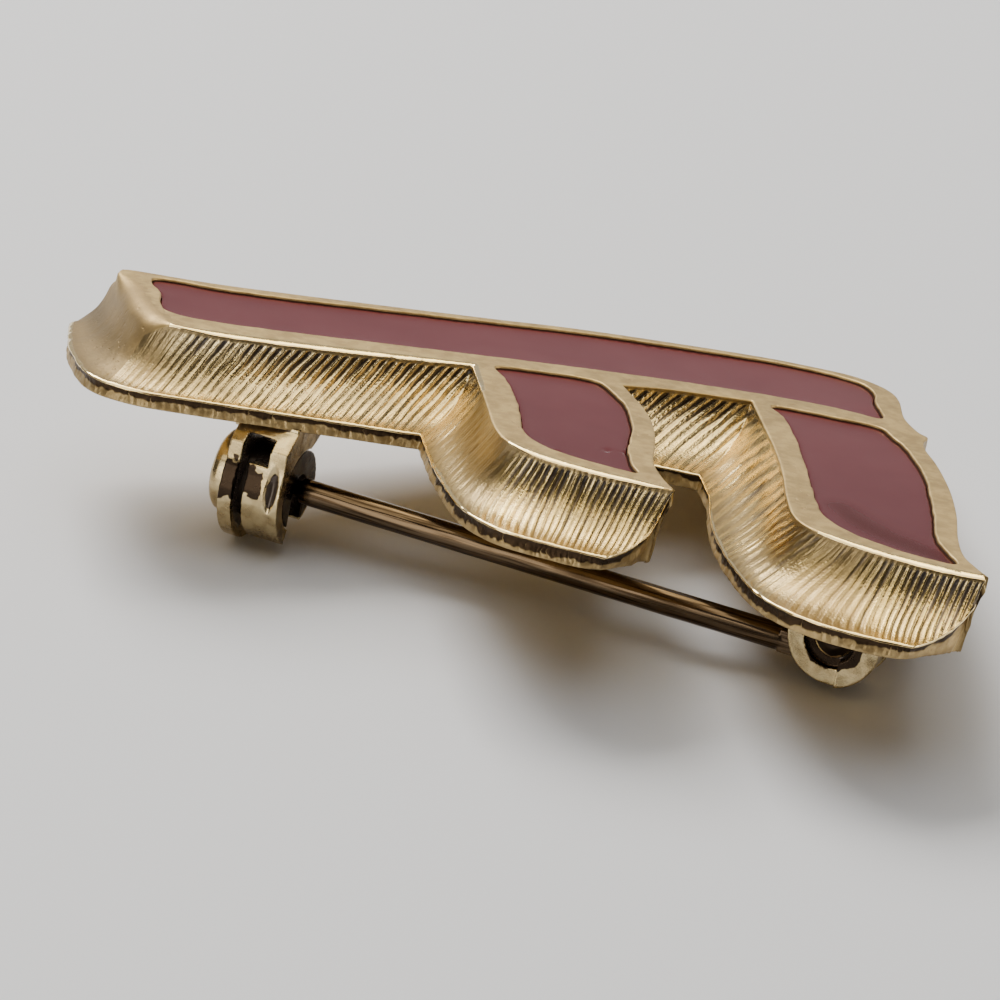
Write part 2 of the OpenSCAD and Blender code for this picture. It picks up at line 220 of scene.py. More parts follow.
def outward(points):
    """Directions that point out of a closed outline, one for each of its points."""
    along = np.roll(points, -1, 0) - np.roll(points, 1, 0)
    return unit(np.stack([along[:, 1], -along[:, 0]], 1))


def is_inside(points, outline):
    """Which points lie inside a closed outline."""
    inside = np.zeros(len(points), bool)
    for (x0, y0), (x1, y1) in zip(outline, np.roll(outline, -1, 0)):
        if y0 != y1:
            crosses = (y0 > points[:, 1]) != (y1 > points[:, 1])
            at = x0 + (points[:, 1] - y0) * (x1 - x0) / (y1 - y0)
            inside ^= crosses & (points[:, 0] < at)
    return inside


def distance(points, outline, closed=True):
    """Distance of each point from an outline, or from an open line."""
    best = np.full(len(points), 1e9)
    for start, end in zip(outline, np.roll(outline, -1, 0) if closed else outline[1:]):
        step = end - start
        t = np.clip(((points - start) @ step) / max(step @ step, 1e-12), 0, 1)
        best = np.minimum(best, length(points - start - t[:, None] * step))
    return best


def fill(outlines, extra=()):
    """Points and triangles of a flat piece inside the first outline and outside the others."""
    edges = []
    for outline in outlines:
        ring = len(edges) + np.arange(len(outline))
        edges += np.stack([ring, np.roll(ring, -1)], 1).tolist()
    points = np.vstack([*outlines, *extra])
    verts, _, faces, *_ = delaunay_2d_cdt([Vector(p) for p in points], edges, [], 1, 1e-7)
    flat = np.array([v[:] for v in verts])
    faces = np.array([tuple(f) for f in faces])
    for hole in outlines[1:]:
        faces = faces[~is_inside(flat[faces].mean(1), hole)]
    a, b, c = (flat[faces[:, k]] for k in range(3))
    area = (b[:, 0] - a[:, 0]) * (c[:, 1] - a[:, 1]) - (b[:, 1] - a[:, 1]) * (c[:, 0] - a[:, 0])
    faces[area < 0] = faces[area < 0][:, ::-1]
    return flat, faces


STRETCHES = [("scooped", FOOT_AND_STEM), ("scooped", MIDDLE_ARM_LOW_SIDE), ("climb down", None),
    ("upright", MIDDLE_ARM_TOP_SIDE), ("scooped", BETWEEN_ARMS), ("scooped", TOP_ARM_LOW_SIDE),
    ("climb down", None), ("upright", TOP_AND_LEFT_SIDE), ("climb up", None)]
CLIMB_STEPS = 5
UPRIGHT_STEP = 0.5
TUCK_IN = 1.1
# Rows of the wall: face, rounded rim, scoop, rounded lip, rough edge, rounded foot
RIM_ROWS, SCOOP_ROWS, LIP_ROWS, EDGE_ROWS, FOOT_ROWS = 5, 20, 3, 8, 3
SCOOP_FROM = 1 + RIM_ROWS
SCOOP_TO = SCOOP_FROM + SCOOP_ROWS
LIP_TO = SCOOP_TO + LIP_ROWS
EDGE_TO = LIP_TO + EDGE_ROWS
ROWS = EDGE_TO + FOOT_ROWS + 1
# How far the lip's rows lie below the scoop in the columns of a tip
LIP_DROP = np.arange(1, LIP_ROWS + 1) / LIP_ROWS * 0.09


def base_shift():
    """How far the wall's foot leans in under the lip, at the stations of the plain solid."""
    top, share = [], []
    for i, (kind, table) in enumerate(STRETCHES):
        if table:
            points = open_curve(table)[0]
            top += list(points[:, -2:])
            share += [1] * len(points)
        else:
            up = kind == "climb up"
            row = np.array(FOOT_AND_STEM[0] if up else STRETCHES[i - 1][1][-1])
            shares = (np.arange(1, CLIMB_STEPS) / CLIMB_STEPS)[::1 if up else -1]
            top += [row[:2] + (row[2:] - row[:2]) * (1 - math.cos(s * math.pi / 2))
                for s in shares]
            share += list(shares)
    top, share = np.array(top), np.array(share)
    near = range(-3, 4)
    tip = sum(np.roll(share < 1, k).astype(float) for k in near)[:, None] / 7
    tucked = top - TUCK_IN * tip * outward(top)
    base = (1 - tip) * top + tip * sum(np.roll(tucked, k, 0) for k in near) / 7
    return base - top


def stations(fine, coarse):
    """Columns round the casting, and the count of the plain outline's stations.

    A column holds rim x and y, lip x and y, depth, place in the plain outline, and row of a tip.
    """
    columns, at = [], 0
    for i, (kind, table) in enumerate(STRETCHES):
        if not table:
            up = kind == "climb up"
            for k in range(1, SCOOP_TO)[::1 if up else -1]:
                share = max(0, (k - SCOOP_FROM) / SCOOP_ROWS)
                place = at - 1 + CLIMB_STEPS * (share if up else 1 - share)
                columns.append((0, 0, 0, 0, 0, place, k))
            at += CLIMB_STEPS - 1
            continue
        scooped = kind == "scooped"
        points, rows = open_curve(table, fine if scooped else coarse)
        if i and scooped:
            # Straight piece of wall in the corner between two stretches
            start = np.array(columns[-1][:5])
            reach = np.append(points[0], SCOOP_DEPTH) - start
            steps = math.ceil(max(np.hypot(*reach[:2]), np.hypot(*reach[2:4])) / fine)
            columns += [(*(start + reach * t), at - 1 + t, 0) for t in np.arange(1, steps) / steps]
        depth = SCOOP_DEPTH if scooped else UPRIGHT_STEP
        columns += [(*p[:2], *p[-2:], depth, at + 2 * row, 0) for p, row in zip(points, rows)]
        at += 2 * (len(table) - 1) + 1
    return np.array(columns, float), at


# Radii of the face's rim in general, at the foot's end and where a file dressed it, and the lip's
# width. Depths of the brushed lines and the dents, and of the marks of the edge below the lip.
RIM_R, FOOT_RIM_R, FILED_RIM_R, LIP_W = 0.06, 0.75, 0.085, 0.15
LINE_CUT, DENT_CUT = 0.14, 0.02
HOLLOW_CUT, FLUTE_CUT, LUMP_CUT, GRAIN_CUT = 0.055, 0.04, 0.07, 0.025
# The station where the foot's plain end stops, and how wide a near rim is that looks filed
FOOT_END, FILED_FROM = 8.6, 0.35
# Stations of the plain outline at the middle arm's tip, between the arms and at the top arm's tip
MIDDLE_TIP, BETWEEN, TOP_TIP = 37, 59, 84
# Stations, and how wide the near rim, how deep the brushed lines, how strong the dents and how
# wide the band of painted shade below the lip are there
RIM_WIDTHS = (
    [0, 8, 11, 14, 18, 21, 22, 27, 30, 35.5, 37, 38, 58, 59, 64, 70, 74, 78, 82.5, 84, 85],
    [0, 0, 0.4, 1, 1, 0.7, 0.2, 0.3, 1, 0.8, 0.1, 0, 0, 0.3, 0.2, 0.2, 1, 1.2, 0.8, 0.1, 0])
LINE_DEPTHS = ([0, 8, 12, 16, 21, 22, 27, 30, 37, 59, 64, 68, 73, 77, 84, 85],
    [0, 0, 0.7, 1, 0.9, 0.3, 0.45, 0.9, 1, 0.9, 0.8, 0.7, 0.4, 1.05, 1.1, 0])
DENTS = ([0, 8, 11, 15, 20, 22, 28, 37, 59, 66, 73, 78, 84],
    [0.15, 0.5, 1.6, 1, 0.5, 1.3, 1.1, 0.3, 0.4, 0.9, 2.2, 0.5, 0.3])
UNDER_LIP_SHADE_WIDTHS = ([0, 18, 24, 30, 38, 40, 57, 59, 66, 72, 76, 86, 90],
    [0, 0, 0.1, 0.3, 0.1, -0.2, -0.2, 0, 0.1, 0.3, 0.05, -0.1, -0.3])
# The brush went down and to the left: directions in the letter's frame, across and up a plane
# square to its strokes' own plane, and by stations the strokes' slope there and their pace
ACROSS, UPWARD = np.array((0.111, 0.976, 0.189)), np.array((-0.325, -0.144, 0.935))
SLOPES = ([0, 8, 12, 20, 22, 26, 29, 32, 37, 59, 63, 66, 70, 73, 76, 80, 84],
    [60, 60, 50, 47, 46, 46, 56, 66, 60, 38, 38, 34, 36, 50, 64, 66, 56])
PACES = ([0, 12, 21, 23, 37, 59, 64, 66, 84], [0.3, 0.3, 0.3, 0.23, 0.24, 0.34, 0.36, 0.24, 0.235])


def brush_lines(wall, at):
    """Which brush line each point of the scooped wall lies on, counted along the wall."""
    slope = np.radians(np.interp(at, *SLOPES))[:, None]
    pace = np.interp(at, *PACES)[:, None]
    across = (np.sin(slope) * ACROSS - np.cos(slope) * UPWARD) / pace
    step = np.concatenate([[0], ((wall[0, 1:] - wall[0, :-1]) * across[1:]).sum(1)])
    return np.cumsum(np.maximum(step, 0.02)) + ((wall - wall[:1]) * across).sum(2)


def sheared(line, run, at):
    """Where each column crosses each row, when columns follow the brush lines."""
    places = np.tile(run, (len(line), 1))
    for first, last, release in ((0, MIDDLE_TIP, 3.5), (BETWEEN, TOP_TIP, 1.2)):
        here = np.flatnonzero((at >= first) & (at <= last))
        own = run[here]
        # The columns bend back before the ends of the stretch
        share = ease(own - own[0], 0.1, release)
        for k in range(1, len(line)):
            found = np.interp(line[0, here], np.maximum.accumulate(line[k, here]), own)
            shift = (found - own) * share
            room = np.maximum(np.where(shift > 0, own[-1] - own, own - own[0]), 1e-6)
            shift = np.sign(shift) * room * (1 - np.exp(-np.abs(shift) / room))
            # Neighbours keep their order and never meet
            places[k, here] = 0.05 * own + 0.95 * np.maximum.accumulate(own + shift)
    return places


def brushed(line, z):
    """How deep the brush's lines are cut at points of the scooped wall, from 0 to 1."""
    cut = 0
    for pace, share, seed in ((1, 0.72, 11), (2.35, 0.28, 12)):
        cell = np.floor(line * pace)
        part = line * pace - cell
        bite = 0.5 + 0.5 * chance(cell, np.full_like(cell, seed))
        # Each line fades in and out down the wall
        fading = 0.7 + 0.3 * drift(seed, 0.7, cell * 1.37, z)
        cut = cut + share * bite * fading * (1 - np.abs(2 * part - 1)) ** 0.9
    return cut


def resampled(points, run, places):
    """Points of a row, moved along it from their own places to others."""
    return np.stack([np.interp(places, run, points[:, k]) for k in range(points.shape[1])], 1)


def bend(a, b, c, t):
    """A point of the round bend from a to c at the corner b."""
    return (1 - t) ** 2 * a + 2 * t * (1 - t) * b + t * t * c


def rubbed(grid, corner, reach, shift):
    """How far points near a corner that is rubbed round are moved."""
    near = np.clip(1 - length(grid - np.array(corner)) / reach, 0, 1)[..., None] ** 2
    return near * np.array(shift)


def tip_columns(grid, marks, real, climb):
    """Columns of a tip repeat its last column down to the row where the lip has climbed.

    Those of the last climb repeat the first column.
    """
    where = np.flatnonzero(real)
    for i in np.flatnonzero(~real):
        full = where[0] if i > where[-1] else where[where < i][-1]
        k = int(climb[i])
        grid[:k + 1, i] = grid[:k + 1, full]
        grid[k + 1:LIP_TO + 1, i] = grid[k, full]
        grid[SCOOP_TO + 1:LIP_TO + 1, i, 2] -= LIP_DROP
        for table in marks.values():
            table[:, i] = table[:, full]


def rough_edge(grid, mark, place, lean_in):
    """The rows below the lip: a rough edge, leaning in below the tips, and a rounded foot."""
    top = grid[LIP_TO].copy()
    foot = at_height(top[:, :2] + lean_in, -CASTING_T)
    side = unit(evened(outward(top[:, :2]), 6, 1))
    run = walked(top)
    tall = top[:, 2] + CASTING_T
    for k in range(1, EDGE_ROWS + 1):
        t = k / EDGE_ROWS * 0.9
        row = top + (foot - top) * t
        flutes = speckle(21, 0.31, run + 0.3 * t * drift(22, 0.7, run))
        lumps = speckle(23, 0.45, run, tall * t)
        fine = speckle(24, 0.16, run, tall * t * 0.6)
        hollow = HOLLOW_CUT * math.sin(math.pi * min(1, k / EDGE_ROWS * 1.15)) ** 2
        flutes = FLUTE_CUT * flutes * math.sin(math.pi * t)
        bite = hollow + flutes + LUMP_CUT * lumps + GRAIN_CUT * fine
        grid[LIP_TO + k] = row - at_height(side * bite[:, None], 0)
        # Painted shade just below the lip, where the lip overhangs the edge
        ragged = 0.12 * drift(25, 0.5, run) + 0.1 * drift(26, 0.17, run)
        wide = np.interp(place, *UNDER_LIP_SHADE_WIDTHS)
        mark[LIP_TO + k] = 1 - ease(k / EDGE_ROWS + ragged - wide, 0.28, 0.66)
    # The foot is rounded, but less so at the sharp tips
    tips = np.exp(-(place - MIDDLE_TIP - 0.5) ** 2) + np.exp(-(place - TOP_TIP - 0.5) ** 2)
    inward = at_height(foot[:, :2] - side * (0.16 - 0.13 * tips)[:, None], foot[:, 2])
    foot_edge = at_height(foot[:, :2] - side * 0.03, foot[:, 2])
    for k in range(1, FOOT_ROWS + 1):
        grid[EDGE_TO + k] = bend(grid[EDGE_TO], foot_edge, inward, k / FOOT_ROWS)


def casting_wall():
    """The wall round the casting, its marks, where it is plain, and where its rim was filed."""
    columns, count = stations(fine=0.047, coarse=0.17)
    depth, place, climb = columns[:, 4:].T
    real = climb == 0
    shift = base_shift()
    wrapped = np.vstack([shift[-1:], shift, shift[:1]])
    lean_in = resampled(wrapped, np.arange(-1, len(shift) + 1), place)
    n = len(columns)
    grid = np.zeros((ROWS, n, 3))
    r, l, d, at = columns[real, :2], columns[real, 2:4], depth[real], place[real]
    out = outward(r)
    reach = length(l - r)
    way = np.where(reach[:, None] > 0.05, (l - r) / np.maximum(reach, 0.05)[:, None], out)
    # The lip was dressed by hand: it wanders a little
    worn = (0.045 * speckle(5, 0.55, *l.T) + 0.03 * speckle(6, 1.7, *l.T)) * (reach > 0.3)
    l = l - way * worn[:, None]
    reach = np.maximum(reach - worn, 0)
    # The foot's end flows out of the face, and the other rims are narrow
    foot_end = (at < 14) * ease(at, 0.5, 3) * (1 - ease(at, 8, 11))
    near_rim = np.interp(at, *RIM_WIDTHS)
    uneven = 0.02 * drift(8, 1.6, *r.T) + 0.015 * drift(7, 0.4, *r.T)
    round_rim = RIM_R + FOOT_RIM_R * foot_end + near_rim * (FILED_RIM_R + uneven)
    first = np.arcsin(np.clip(round_rim / d, 0, 1))
    lip_w = LIP_W + 0.04 * drift(13, 1.1, *l.T) + 0.03 * drift(14, 0.3, *l.T)
    last = np.arccos(np.clip(lip_w / np.maximum(reach, lip_w), 0, 1))
    last = np.where(reach > 0.2, last, np.where(d > 1, last, math.pi / 2))
    last = np.maximum(last, first + 0.05)

    def scoop(angle):
        return at_height(r + way * (reach * (1 - np.cos(angle)))[:, None], -d * np.sin(angle))

    wall = np.zeros((LIP_TO + 1, len(r), 3))
    inset = at_height(r - out * (round_rim * (1 + 0.9 * near_rim))[:, None], 0)
    wall[0] = inset - at_height(out * 0.06, 0)
    start = scoop(first)
    corner = at_height(r + way * (start[:, :2] - r) * 0.3, 0)
    # The near rims were dressed with a flat file
    flat = (0.7 * np.minimum(near_rim, 1))[:, None]
    corner = corner + ((inset + start) / 2 - corner) * flat
    for k in range(RIM_ROWS + 1):
        wall[1 + k] = bend(inset, corner, start, k / RIM_ROWS)
    for k in range(SCOOP_ROWS + 1):
        wall[SCOOP_FROM + k] = scoop(first + (last - first) * k / SCOOP_ROWS)
    edge = at_height(l, -d)
    under = at_height(l, -d - 0.6 * lip_w)
    shoulder = edge + ((wall[SCOOP_TO] + under) / 2 - edge) * 0.5
    for k in range(1, LIP_ROWS + 1):
        wall[SCOOP_TO + k] = bend(wall[SCOOP_TO], shoulder, under, k / LIP_ROWS)

    # The columns of the scoop follow the brush's lines
    body = wall[SCOOP_FROM:SCOOP_TO + 1]
    run = walked(at_height(0.45 * r + 0.55 * l, -d / 2)) + np.arange(len(r)) * 1e-6
    line = brush_lines(body, at)
    places = sheared(line, run, at)
    body = np.stack([resampled(row, run, there) for row, there in zip(body, places)])
    line = np.stack([np.interp(there, run, row) for row, there in zip(line, places)])
    low = places[-1]
    wall[SCOOP_TO + 1:] = [resampled(row, run, low) for row in wall[SCOOP_TO + 1:]]
    lean_in[real] = resampled(lean_in[real], run, low)

    # Brushed lines and small dents, cut into the scooped wall
    along = np.roll(body, -1, 1) - np.roll(body, 1, 1)
    normal = unit(np.cross(np.gradient(body, axis=0), along))
    x, y, z = np.moveaxis(body, 2, 0)
    fall = np.linspace(0, 1, SCOOP_ROWS + 1)[:, None]
    at, reach = np.interp(places, run, at), np.interp(places, run, reach)
    deep_here = np.interp(places, run, d)
    strength = np.interp(at, *LINE_DEPTHS) * (reach > 0.3)
    strength = strength * ease(fall, 0, 0.04) * (1 - 0.28 * ease(fall, 0.25, 0.7))
    strength = strength * (0.8 + 0.2 * drift(9, 1.3, x, y, z))
    line = line + 0.12 * drift(3, 1.1, y, z) + 0.06 * drift(4, 0.5, x + y, z)
    dented = np.interp(at, *DENTS) * (reach > 0.3)
    deep = LINE_CUT * strength * brushed(line, z)
    deep = deep + DENT_CUT * dented * speckle(10, 0.22, x, y, z)
    wall[SCOOP_FROM:SCOOP_TO + 1] = body - normal * deep[..., None]
    marks = {name: np.zeros((ROWS, n)) for name in Shell.MARKS}
    rows = np.clip(np.arange(ROWS) - SCOOP_FROM, 0, SCOOP_ROWS)
    marks["mark"][SCOOP_FROM:SCOOP_TO + 1, real] = strength
    marks["line"][:, real] = line[rows]
    marks["fall"][:, real] = (-z / deep_here)[rows]
    near_rims = np.zeros(n)
    near_rims[real] = near_rim

    grid[:LIP_TO + 1, real] = wall
    tip_columns(grid, marks, real, climb)
    rough_edge(grid, marks["mark"], place, lean_in)
    # The foot's low corner is rubbed round, and so is its high corner, though its face stays flat
    grid += rubbed(grid, (-3.6, -0.4, -SCOOP_DEPTH), 0.8, (0.2, 0.16, -0.16))
    near = rubbed(grid, (-3.41, 1.03, -0.1), 0.9, (0.24, 0.3, -0.3))
    near[:2, :, 2] = 0
    grid += near
    plain = (place < FOOT_END) | (place > count - CLIMB_STEPS + 1)
    return grid, marks, plain, near_rims > FILED_FROM


# Pieces
WELD, CAD_WELD = 0.0004, 0.0005


def marked(mesh, name, values):
    """Gives each point of a mesh a value that its finish reads."""
    mesh.attributes.new(name, "FLOAT", "POINT").data.foreach_set("value",
        values.astype(np.float32))
    return mesh


class Shell:
    """Points and faces of a piece, in the letter's frame and in millimetres."""

    MARKS = ("mark", "line", "fall")

    def __init__(self):
        self.points, self.faces, self.finish, self.smooth = [], [], [], []
        self.marks = {name: [] for name in self.MARKS}
        self.count = 0

    def add(self, points, faces, finish=0, smooth=True, marks=None):
        points = np.asarray(points, float).reshape(-1, 3)
        self.points.append(points)
        for name, values in self.marks.items():
            values.append(np.ravel((marks or {}).get(name, np.zeros(len(points)))))
        self.faces += [tuple(self.count + v for v in f) for f in faces]
        self.finish += list(np.broadcast_to(finish, len(faces)))
        self.smooth += [smooth] * len(faces)
        self.count += len(points)

    def rings(self, grid, finish=0, marks=None, flip=False):
        """A skin over closed rings of equal length, from the first to the last."""
        rows, n = grid.shape[:2]
        k, i = np.mgrid[0:rows - 1, 0:n]
        j = (i + 1) % n
        quads = np.stack([k * n + i, (k + 1) * n + i, (k + 1) * n + j, k * n + j], -1)
        quads = quads.reshape(-1, 4)
        if flip:
            quads = quads[:, ::-1]
        self.add(grid, quads.tolist(), finish, True, marks)

    def plate(self, outlines, z, finish=0, up=True):
        """A flat face inside the first outline and outside the others."""
        flat, faces = fill(outlines)
        if not up:
            faces = faces[:, ::-1]
        self.add(at_height(flat, z), faces.tolist(), finish, False)

    def mesh(self, name):
        made = bpy.data.meshes.new(name)
        made.from_pydata(np.vstack(self.points).tolist(), [], self.faces)
        made.polygons.foreach_set("material_index", self.finish)
        made.polygons.foreach_set("use_smooth", self.smooth)
        for mark, values in self.marks.items():
            marked(made, mark, np.concatenate(values))
        work = bmesh.new()
        work.from_mesh(made)
        bmesh.ops.remove_doubles(work, verts=work.verts, dist=WELD)
        bmesh.ops.holes_fill(work, edges=[e for e in work.edges if e.is_boundary])
        bmesh.ops.recalc_face_normals(work, faces=work.faces)
        work.to_mesh(made)
        work.free()
        return made


def show(name, mesh, finishes, body, node, frame_of=LETTER):
    """Puts a piece on the table, on its body, with its finishes, in its CAD node's stead."""
    mesh.transform(frame_of)
    piece = placed(name, mesh)
    for finish in finishes:
        mesh.materials.append(finish)
    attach(piece, body)
    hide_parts(node)


# Materials
class Value:
    """A number or colour in a material that is worked out with ordinary operators."""

    def __init__(self, sheet, socket):
        self.sheet = sheet
        self.socket = socket

    def maths(self, operation, first, second=0.0):
        return self.sheet.node("ShaderNodeMath", {"operation": operation}, {0: first, 1: second})

    def __add__(self, other):
        return self.maths("ADD", self, other)

    def __sub__(self, other):
        return self.maths("SUBTRACT", self, other)

    def __rsub__(self, other):
        return self.maths("SUBTRACT", other, self)

    def __mul__(self, other):
        return self.maths("MULTIPLY", self, other)

    def __truediv__(self, other):
        return self.maths("DIVIDE", self, other)

    __radd__ = __add__
    __rmul__ = __mul__

    def __abs__(self):
        return self.maths("ABSOLUTE", self)

    def whole(self):
        return self.maths("FLOOR", self)

    def clipped(self):
        return self.sheet.node("ShaderNodeClamp", {}, {"Value": self})

    def rise(self, start, end):
        """0 below start and 1 above end, with a smooth step between."""
        return self.sheet.node("ShaderNodeMapRange", {"interpolation_type": "SMOOTHSTEP"},
            {"Value": self, "From Min": start, "From Max": end})


class Sheet:
    """Nodes of a material or of the world."""

    def __init__(self, owner):
        owner.use_nodes = True
        self.tree = owner.node_tree

    def node(self, kind, settings=None, inputs=None, output=0):
        made = self.tree.nodes.new(kind)
        for key, value in (settings or {}).items():
            setattr(made, key, value)
        for key, value in (inputs or {}).items():
            if isinstance(value, Value):
                self.tree.links.new(value.socket, made.inputs[key])
            else:
                made.inputs[key].default_value = value
        return Value(self, made.outputs[output])

    def place(self):
        return self.node("ShaderNodeTexCoord", {}, {}, "Object")

    def lumps(self, size, detail=3.0):
        """A random field from 0 to 1 with lumps of that size in millimetres."""
        return self.node("ShaderNodeTexNoise", {}, {"Vector": self.place(),
            "Scale": 1 / (size * MM), "Detail": detail, "Roughness": 0.5}, "Fac")

    def dot(self, where, way):
        return self.node("ShaderNodeVectorMath", {"operation": "DOT_PRODUCT"},
            {0: where, 1: way}, "Value")

    def along(self, way):
        """How far a point lies in a direction given in the letter's frame, in millimetres."""
        return self.dot(self.place(), LETTER_WAYS @ Vector(way) / MM)

    def streaks(self, across, down, third, seed):
        """Long fine streaks: three coordinates in units of their own width and length."""
        where = self.node("ShaderNodeCombineXYZ", {}, {0: across, 1: down, 2: third})
        return self.node("ShaderNodeTexNoise", {"noise_dimensions": "4D"},
            {"Vector": where, "W": seed, "Scale": 1.0, "Detail": 1.0}, "Fac")

    def mark(self, name):
        """A value that the piece's points carry."""
        return self.node("ShaderNodeAttribute", {"attribute_name": name}, {}, "Fac")

    def grooves(self, line):
        """Triangular grooves of different depth, one for each whole step of a value."""
        cell = line.whole()
        bite = self.node("ShaderNodeTexWhiteNoise", {"noise_dimensions": "1D"}, {"W": cell + 0.5})
        return (1 - abs((line - cell) * 2 - 1)) * (bite * 0.5 + 0.5)

    def blend(self, factor, first, second):
        return self.node("ShaderNodeMix", {"data_type": "RGBA"},
            {0: factor, 6: first, 7: second}, 2)


class Finish(Sheet):
    """A material with one Principled shader, whose steady values are set directly."""

    def __init__(self, name, **steady):
        self.material = bpy.data.materials.new(name)
        super().__init__(self.material)
        self.shader = self.tree.nodes["Principled BSDF"]
        for socket, value in steady.items():
            self.shader.inputs[socket.replace("_", " ")].default_value = value

    def feed(self, **values):
        """Links what changes over the surface, and hands the finished material over."""
        for socket, value in values.items():
            self.tree.links.new(value.socket, self.shader.inputs[socket.replace("_", " ")])
        return self.material

    def relief(self, height, depth):
        """A bump of that depth in millimetres."""
        return self.node("ShaderNodeBump", {},
            {"Height": height, "Distance": depth * MM, "Strength": 1.0})


def rgb(red, green, blue):
    return (red, green, blue, 1.0)


GOLD = rgb(0.70, 0.51, 0.22)
DEEP_GOLD = rgb(0.56, 0.38, 0.14)
BRUSHED_GOLD = rgb(0.56, 0.39, 0.155)
PALE_BRUSHED = rgb(0.75, 0.56, 0.25)
CREST_GOLD = rgb(0.93, 0.69, 0.26)
WORN = rgb(0.34, 0.23, 0.12)
CLOSED_OFF_SHADE = rgb(0.08, 0.056, 0.04)
PAINTED_DARK = rgb(0.03, 0.02, 0.013)
SATIN_PLATE = rgb(0.58, 0.46, 0.25)
WORN_PLATE = rgb(0.42, 0.32, 0.165)
DULL_GOLD = rgb(0.25, 0.175, 0.085)
DULL_BRUSHED = rgb(0.14, 0.10, 0.05)
SATIN = rgb(0.33, 0.23, 0.10)
SATIN_PALE = rgb(0.49, 0.36, 0.165)


def face_gold():
    """Satin face: mottled, with small pits and rubbed patches."""
    f = Finish("satin_gold_face", Metallic=1.0)
    clouds = f.lumps(1.3)
    grain = f.lumps(0.14)
    pits = f.lumps(0.22, detail=1.0).rise(0.66, 0.74)
    mottle = f.lumps(0.42)
    tone = f.blend(clouds.rise(0.3, 0.7) * 0.5 + mottle.rise(0.38, 0.62) * 0.5, SATIN, SATIN_PALE)
    tone = f.blend((pits * 0.5 + grain.rise(0.6, 0.8) * 0.25).clipped(), tone, WORN)
    # Painted shade: the foot's end is darkened as it falls away from the face, darkest low down
    fall = f.mark("fall")
    low = f.blend(fall.rise(0.4, 0.85), f.blend(mottle, DULL_GOLD, SATIN), DULL_BRUSHED)
    tone = f.blend(fall.rise(0.1, 0.36) * 0.9, tone, low)
    return f.feed(Base_Color=tone, Roughness=0.4 + clouds * 0.12 + grain * 0.1,
        Normal=f.relief(pits * -0.8 + grain * 0.4 + mottle * 1.4, 0.012))


def brushed_gold():
    """Scooped walls: lines brushed one way, their crests painted pale as highlights and their
    grooves filled dark as painted shade.
    """
    f = Finish("brushed_gold", Metallic=1.0)
    line, fall = f.mark("line"), f.mark("fall")
    speck = f.lumps(0.1)
    patch = f.lumps(0.5)
    wobble = line + patch * 0.2 + speck * 0.04
    groove = f.grooves(wobble) * f.mark("mark")
    fine = f.grooves(wobble * 2.7)
    # Painted shade: the grooves are filled wide and dark near the rim, and narrower further down
    # and on the stem's wall
    stem = 1 - f.along((1.0, 0.0, 0.0)).rise(-3.0, 0.0)
    wide = groove * (2.0 - fall * 1.0) * (1 - stem * fall.rise(0.15, 0.6) * 0.45)
    wide = wide + (fine - 0.5) * 0.15 + (patch - 0.5) * 0.6
    tone = f.blend(patch.rise(0.35, 0.65), BRUSHED_GOLD, PALE_BRUSHED)
    # Painted highlight: the crests are paler than the rest
    tone = f.blend(groove.rise(0.02, 0.28), CREST_GOLD, tone)
    # Painted light: near the rim the tone is greyer brown, and on the stem's wall paler
    tone = f.blend((1 - fall.rise(0.15, 0.5)) * 0.5, tone, rgb(0.46, 0.36, 0.21))
    tone = f.blend(stem * 0.5, tone, rgb(0.92, 0.74, 0.42))
    # Painted shade fills the grooves, near black at the rim and brown lower down
    dark = f.blend(fall.rise(0.15, 0.6), rgb(0.03, 0.018, 0.011), rgb(0.165, 0.118, 0.07))
    filled = wide.rise(0.3, 0.7)
    tone = f.blend(filled, tone, dark)
    # Where few lines were brushed the wall stays duller
    dull = 1 - f.mark("mark").rise(0.3, 0.75)
    tone = f.blend(dull * 0.85, tone, f.blend(speck, DULL_BRUSHED, DULL_GOLD))
    broken = f.lumps(0.16, detail=2.0)
    tone = f.blend(broken.rise(0.56, 0.7) * fall.rise(0.2, 0.6) * 0.55, tone, WORN)
    tone = f.blend(speck.rise(0.6, 0.75) * 0.3, tone, WORN)
    return f.feed(Base_Color=tone, Metallic=1 - filled * (1 - fall * 0.5) * 0.9,
        Roughness=0.12 + fine * 0.1 + speck * 0.12 + dull * 0.14,
        Normal=f.relief(groove * -0.9 - fine * 0.1 + speck * 0.35, 0.055))


def filed_gold():
    """Narrow bright facet that a file left along the near rims."""
    f = Finish("filed_gold", Metallic=1.0)
    speck = f.lumps(0.2, detail=2.0)
    long = f.lumps(1.2, detail=1.0)
    return f.feed(Base_Color=f.blend(speck, rgb(0.80, 0.60, 0.26), rgb(0.94, 0.76, 0.42)),
        Roughness=0.07 + speck * 0.12, Normal=f.relief(speck * 0.5 + long, 0.012))


def cast_gold():
    """Rough narrow edge: painted shade below the lip, tan further down."""
    f = Finish("cast_gold_edge", Metallic=1.0)
    lumps = f.lumps(0.45)
    grain = f.lumps(0.09)
    dark = f.mark("mark")
    tone = f.blend(lumps.rise(0.35, 0.65), rgb(0.34, 0.24, 0.11), rgb(0.50, 0.37, 0.18))
    flute = f.grooves(f.mark("line") * 1.1 + dark * 0.3 + lumps * 1.6)
    flute = flute * lumps.rise(0.3, 0.6) * f.mark("fall").rise(0.1, 0.6)
    tone = f.blend(grain.rise(0.58, 0.75) * 0.5 + flute.rise(0.45, 0.8) * 0.3, tone, WORN)
    # Painted shade below the lip, broken by the grain and flutes
    shade_mask = dark * 1.15 - grain * 0.3 - flute.rise(0.6, 0.95) * 0.6
    tone = f.blend(shade_mask.rise(0.1, 0.7), tone, rgb(0.052, 0.033, 0.019))
    return f.feed(Base_Color=tone, Roughness=0.34 + lumps * 0.15 + grain * 0.15,
        Normal=f.relief(lumps + grain * 0.5 - flute * 1.2, 0.03))


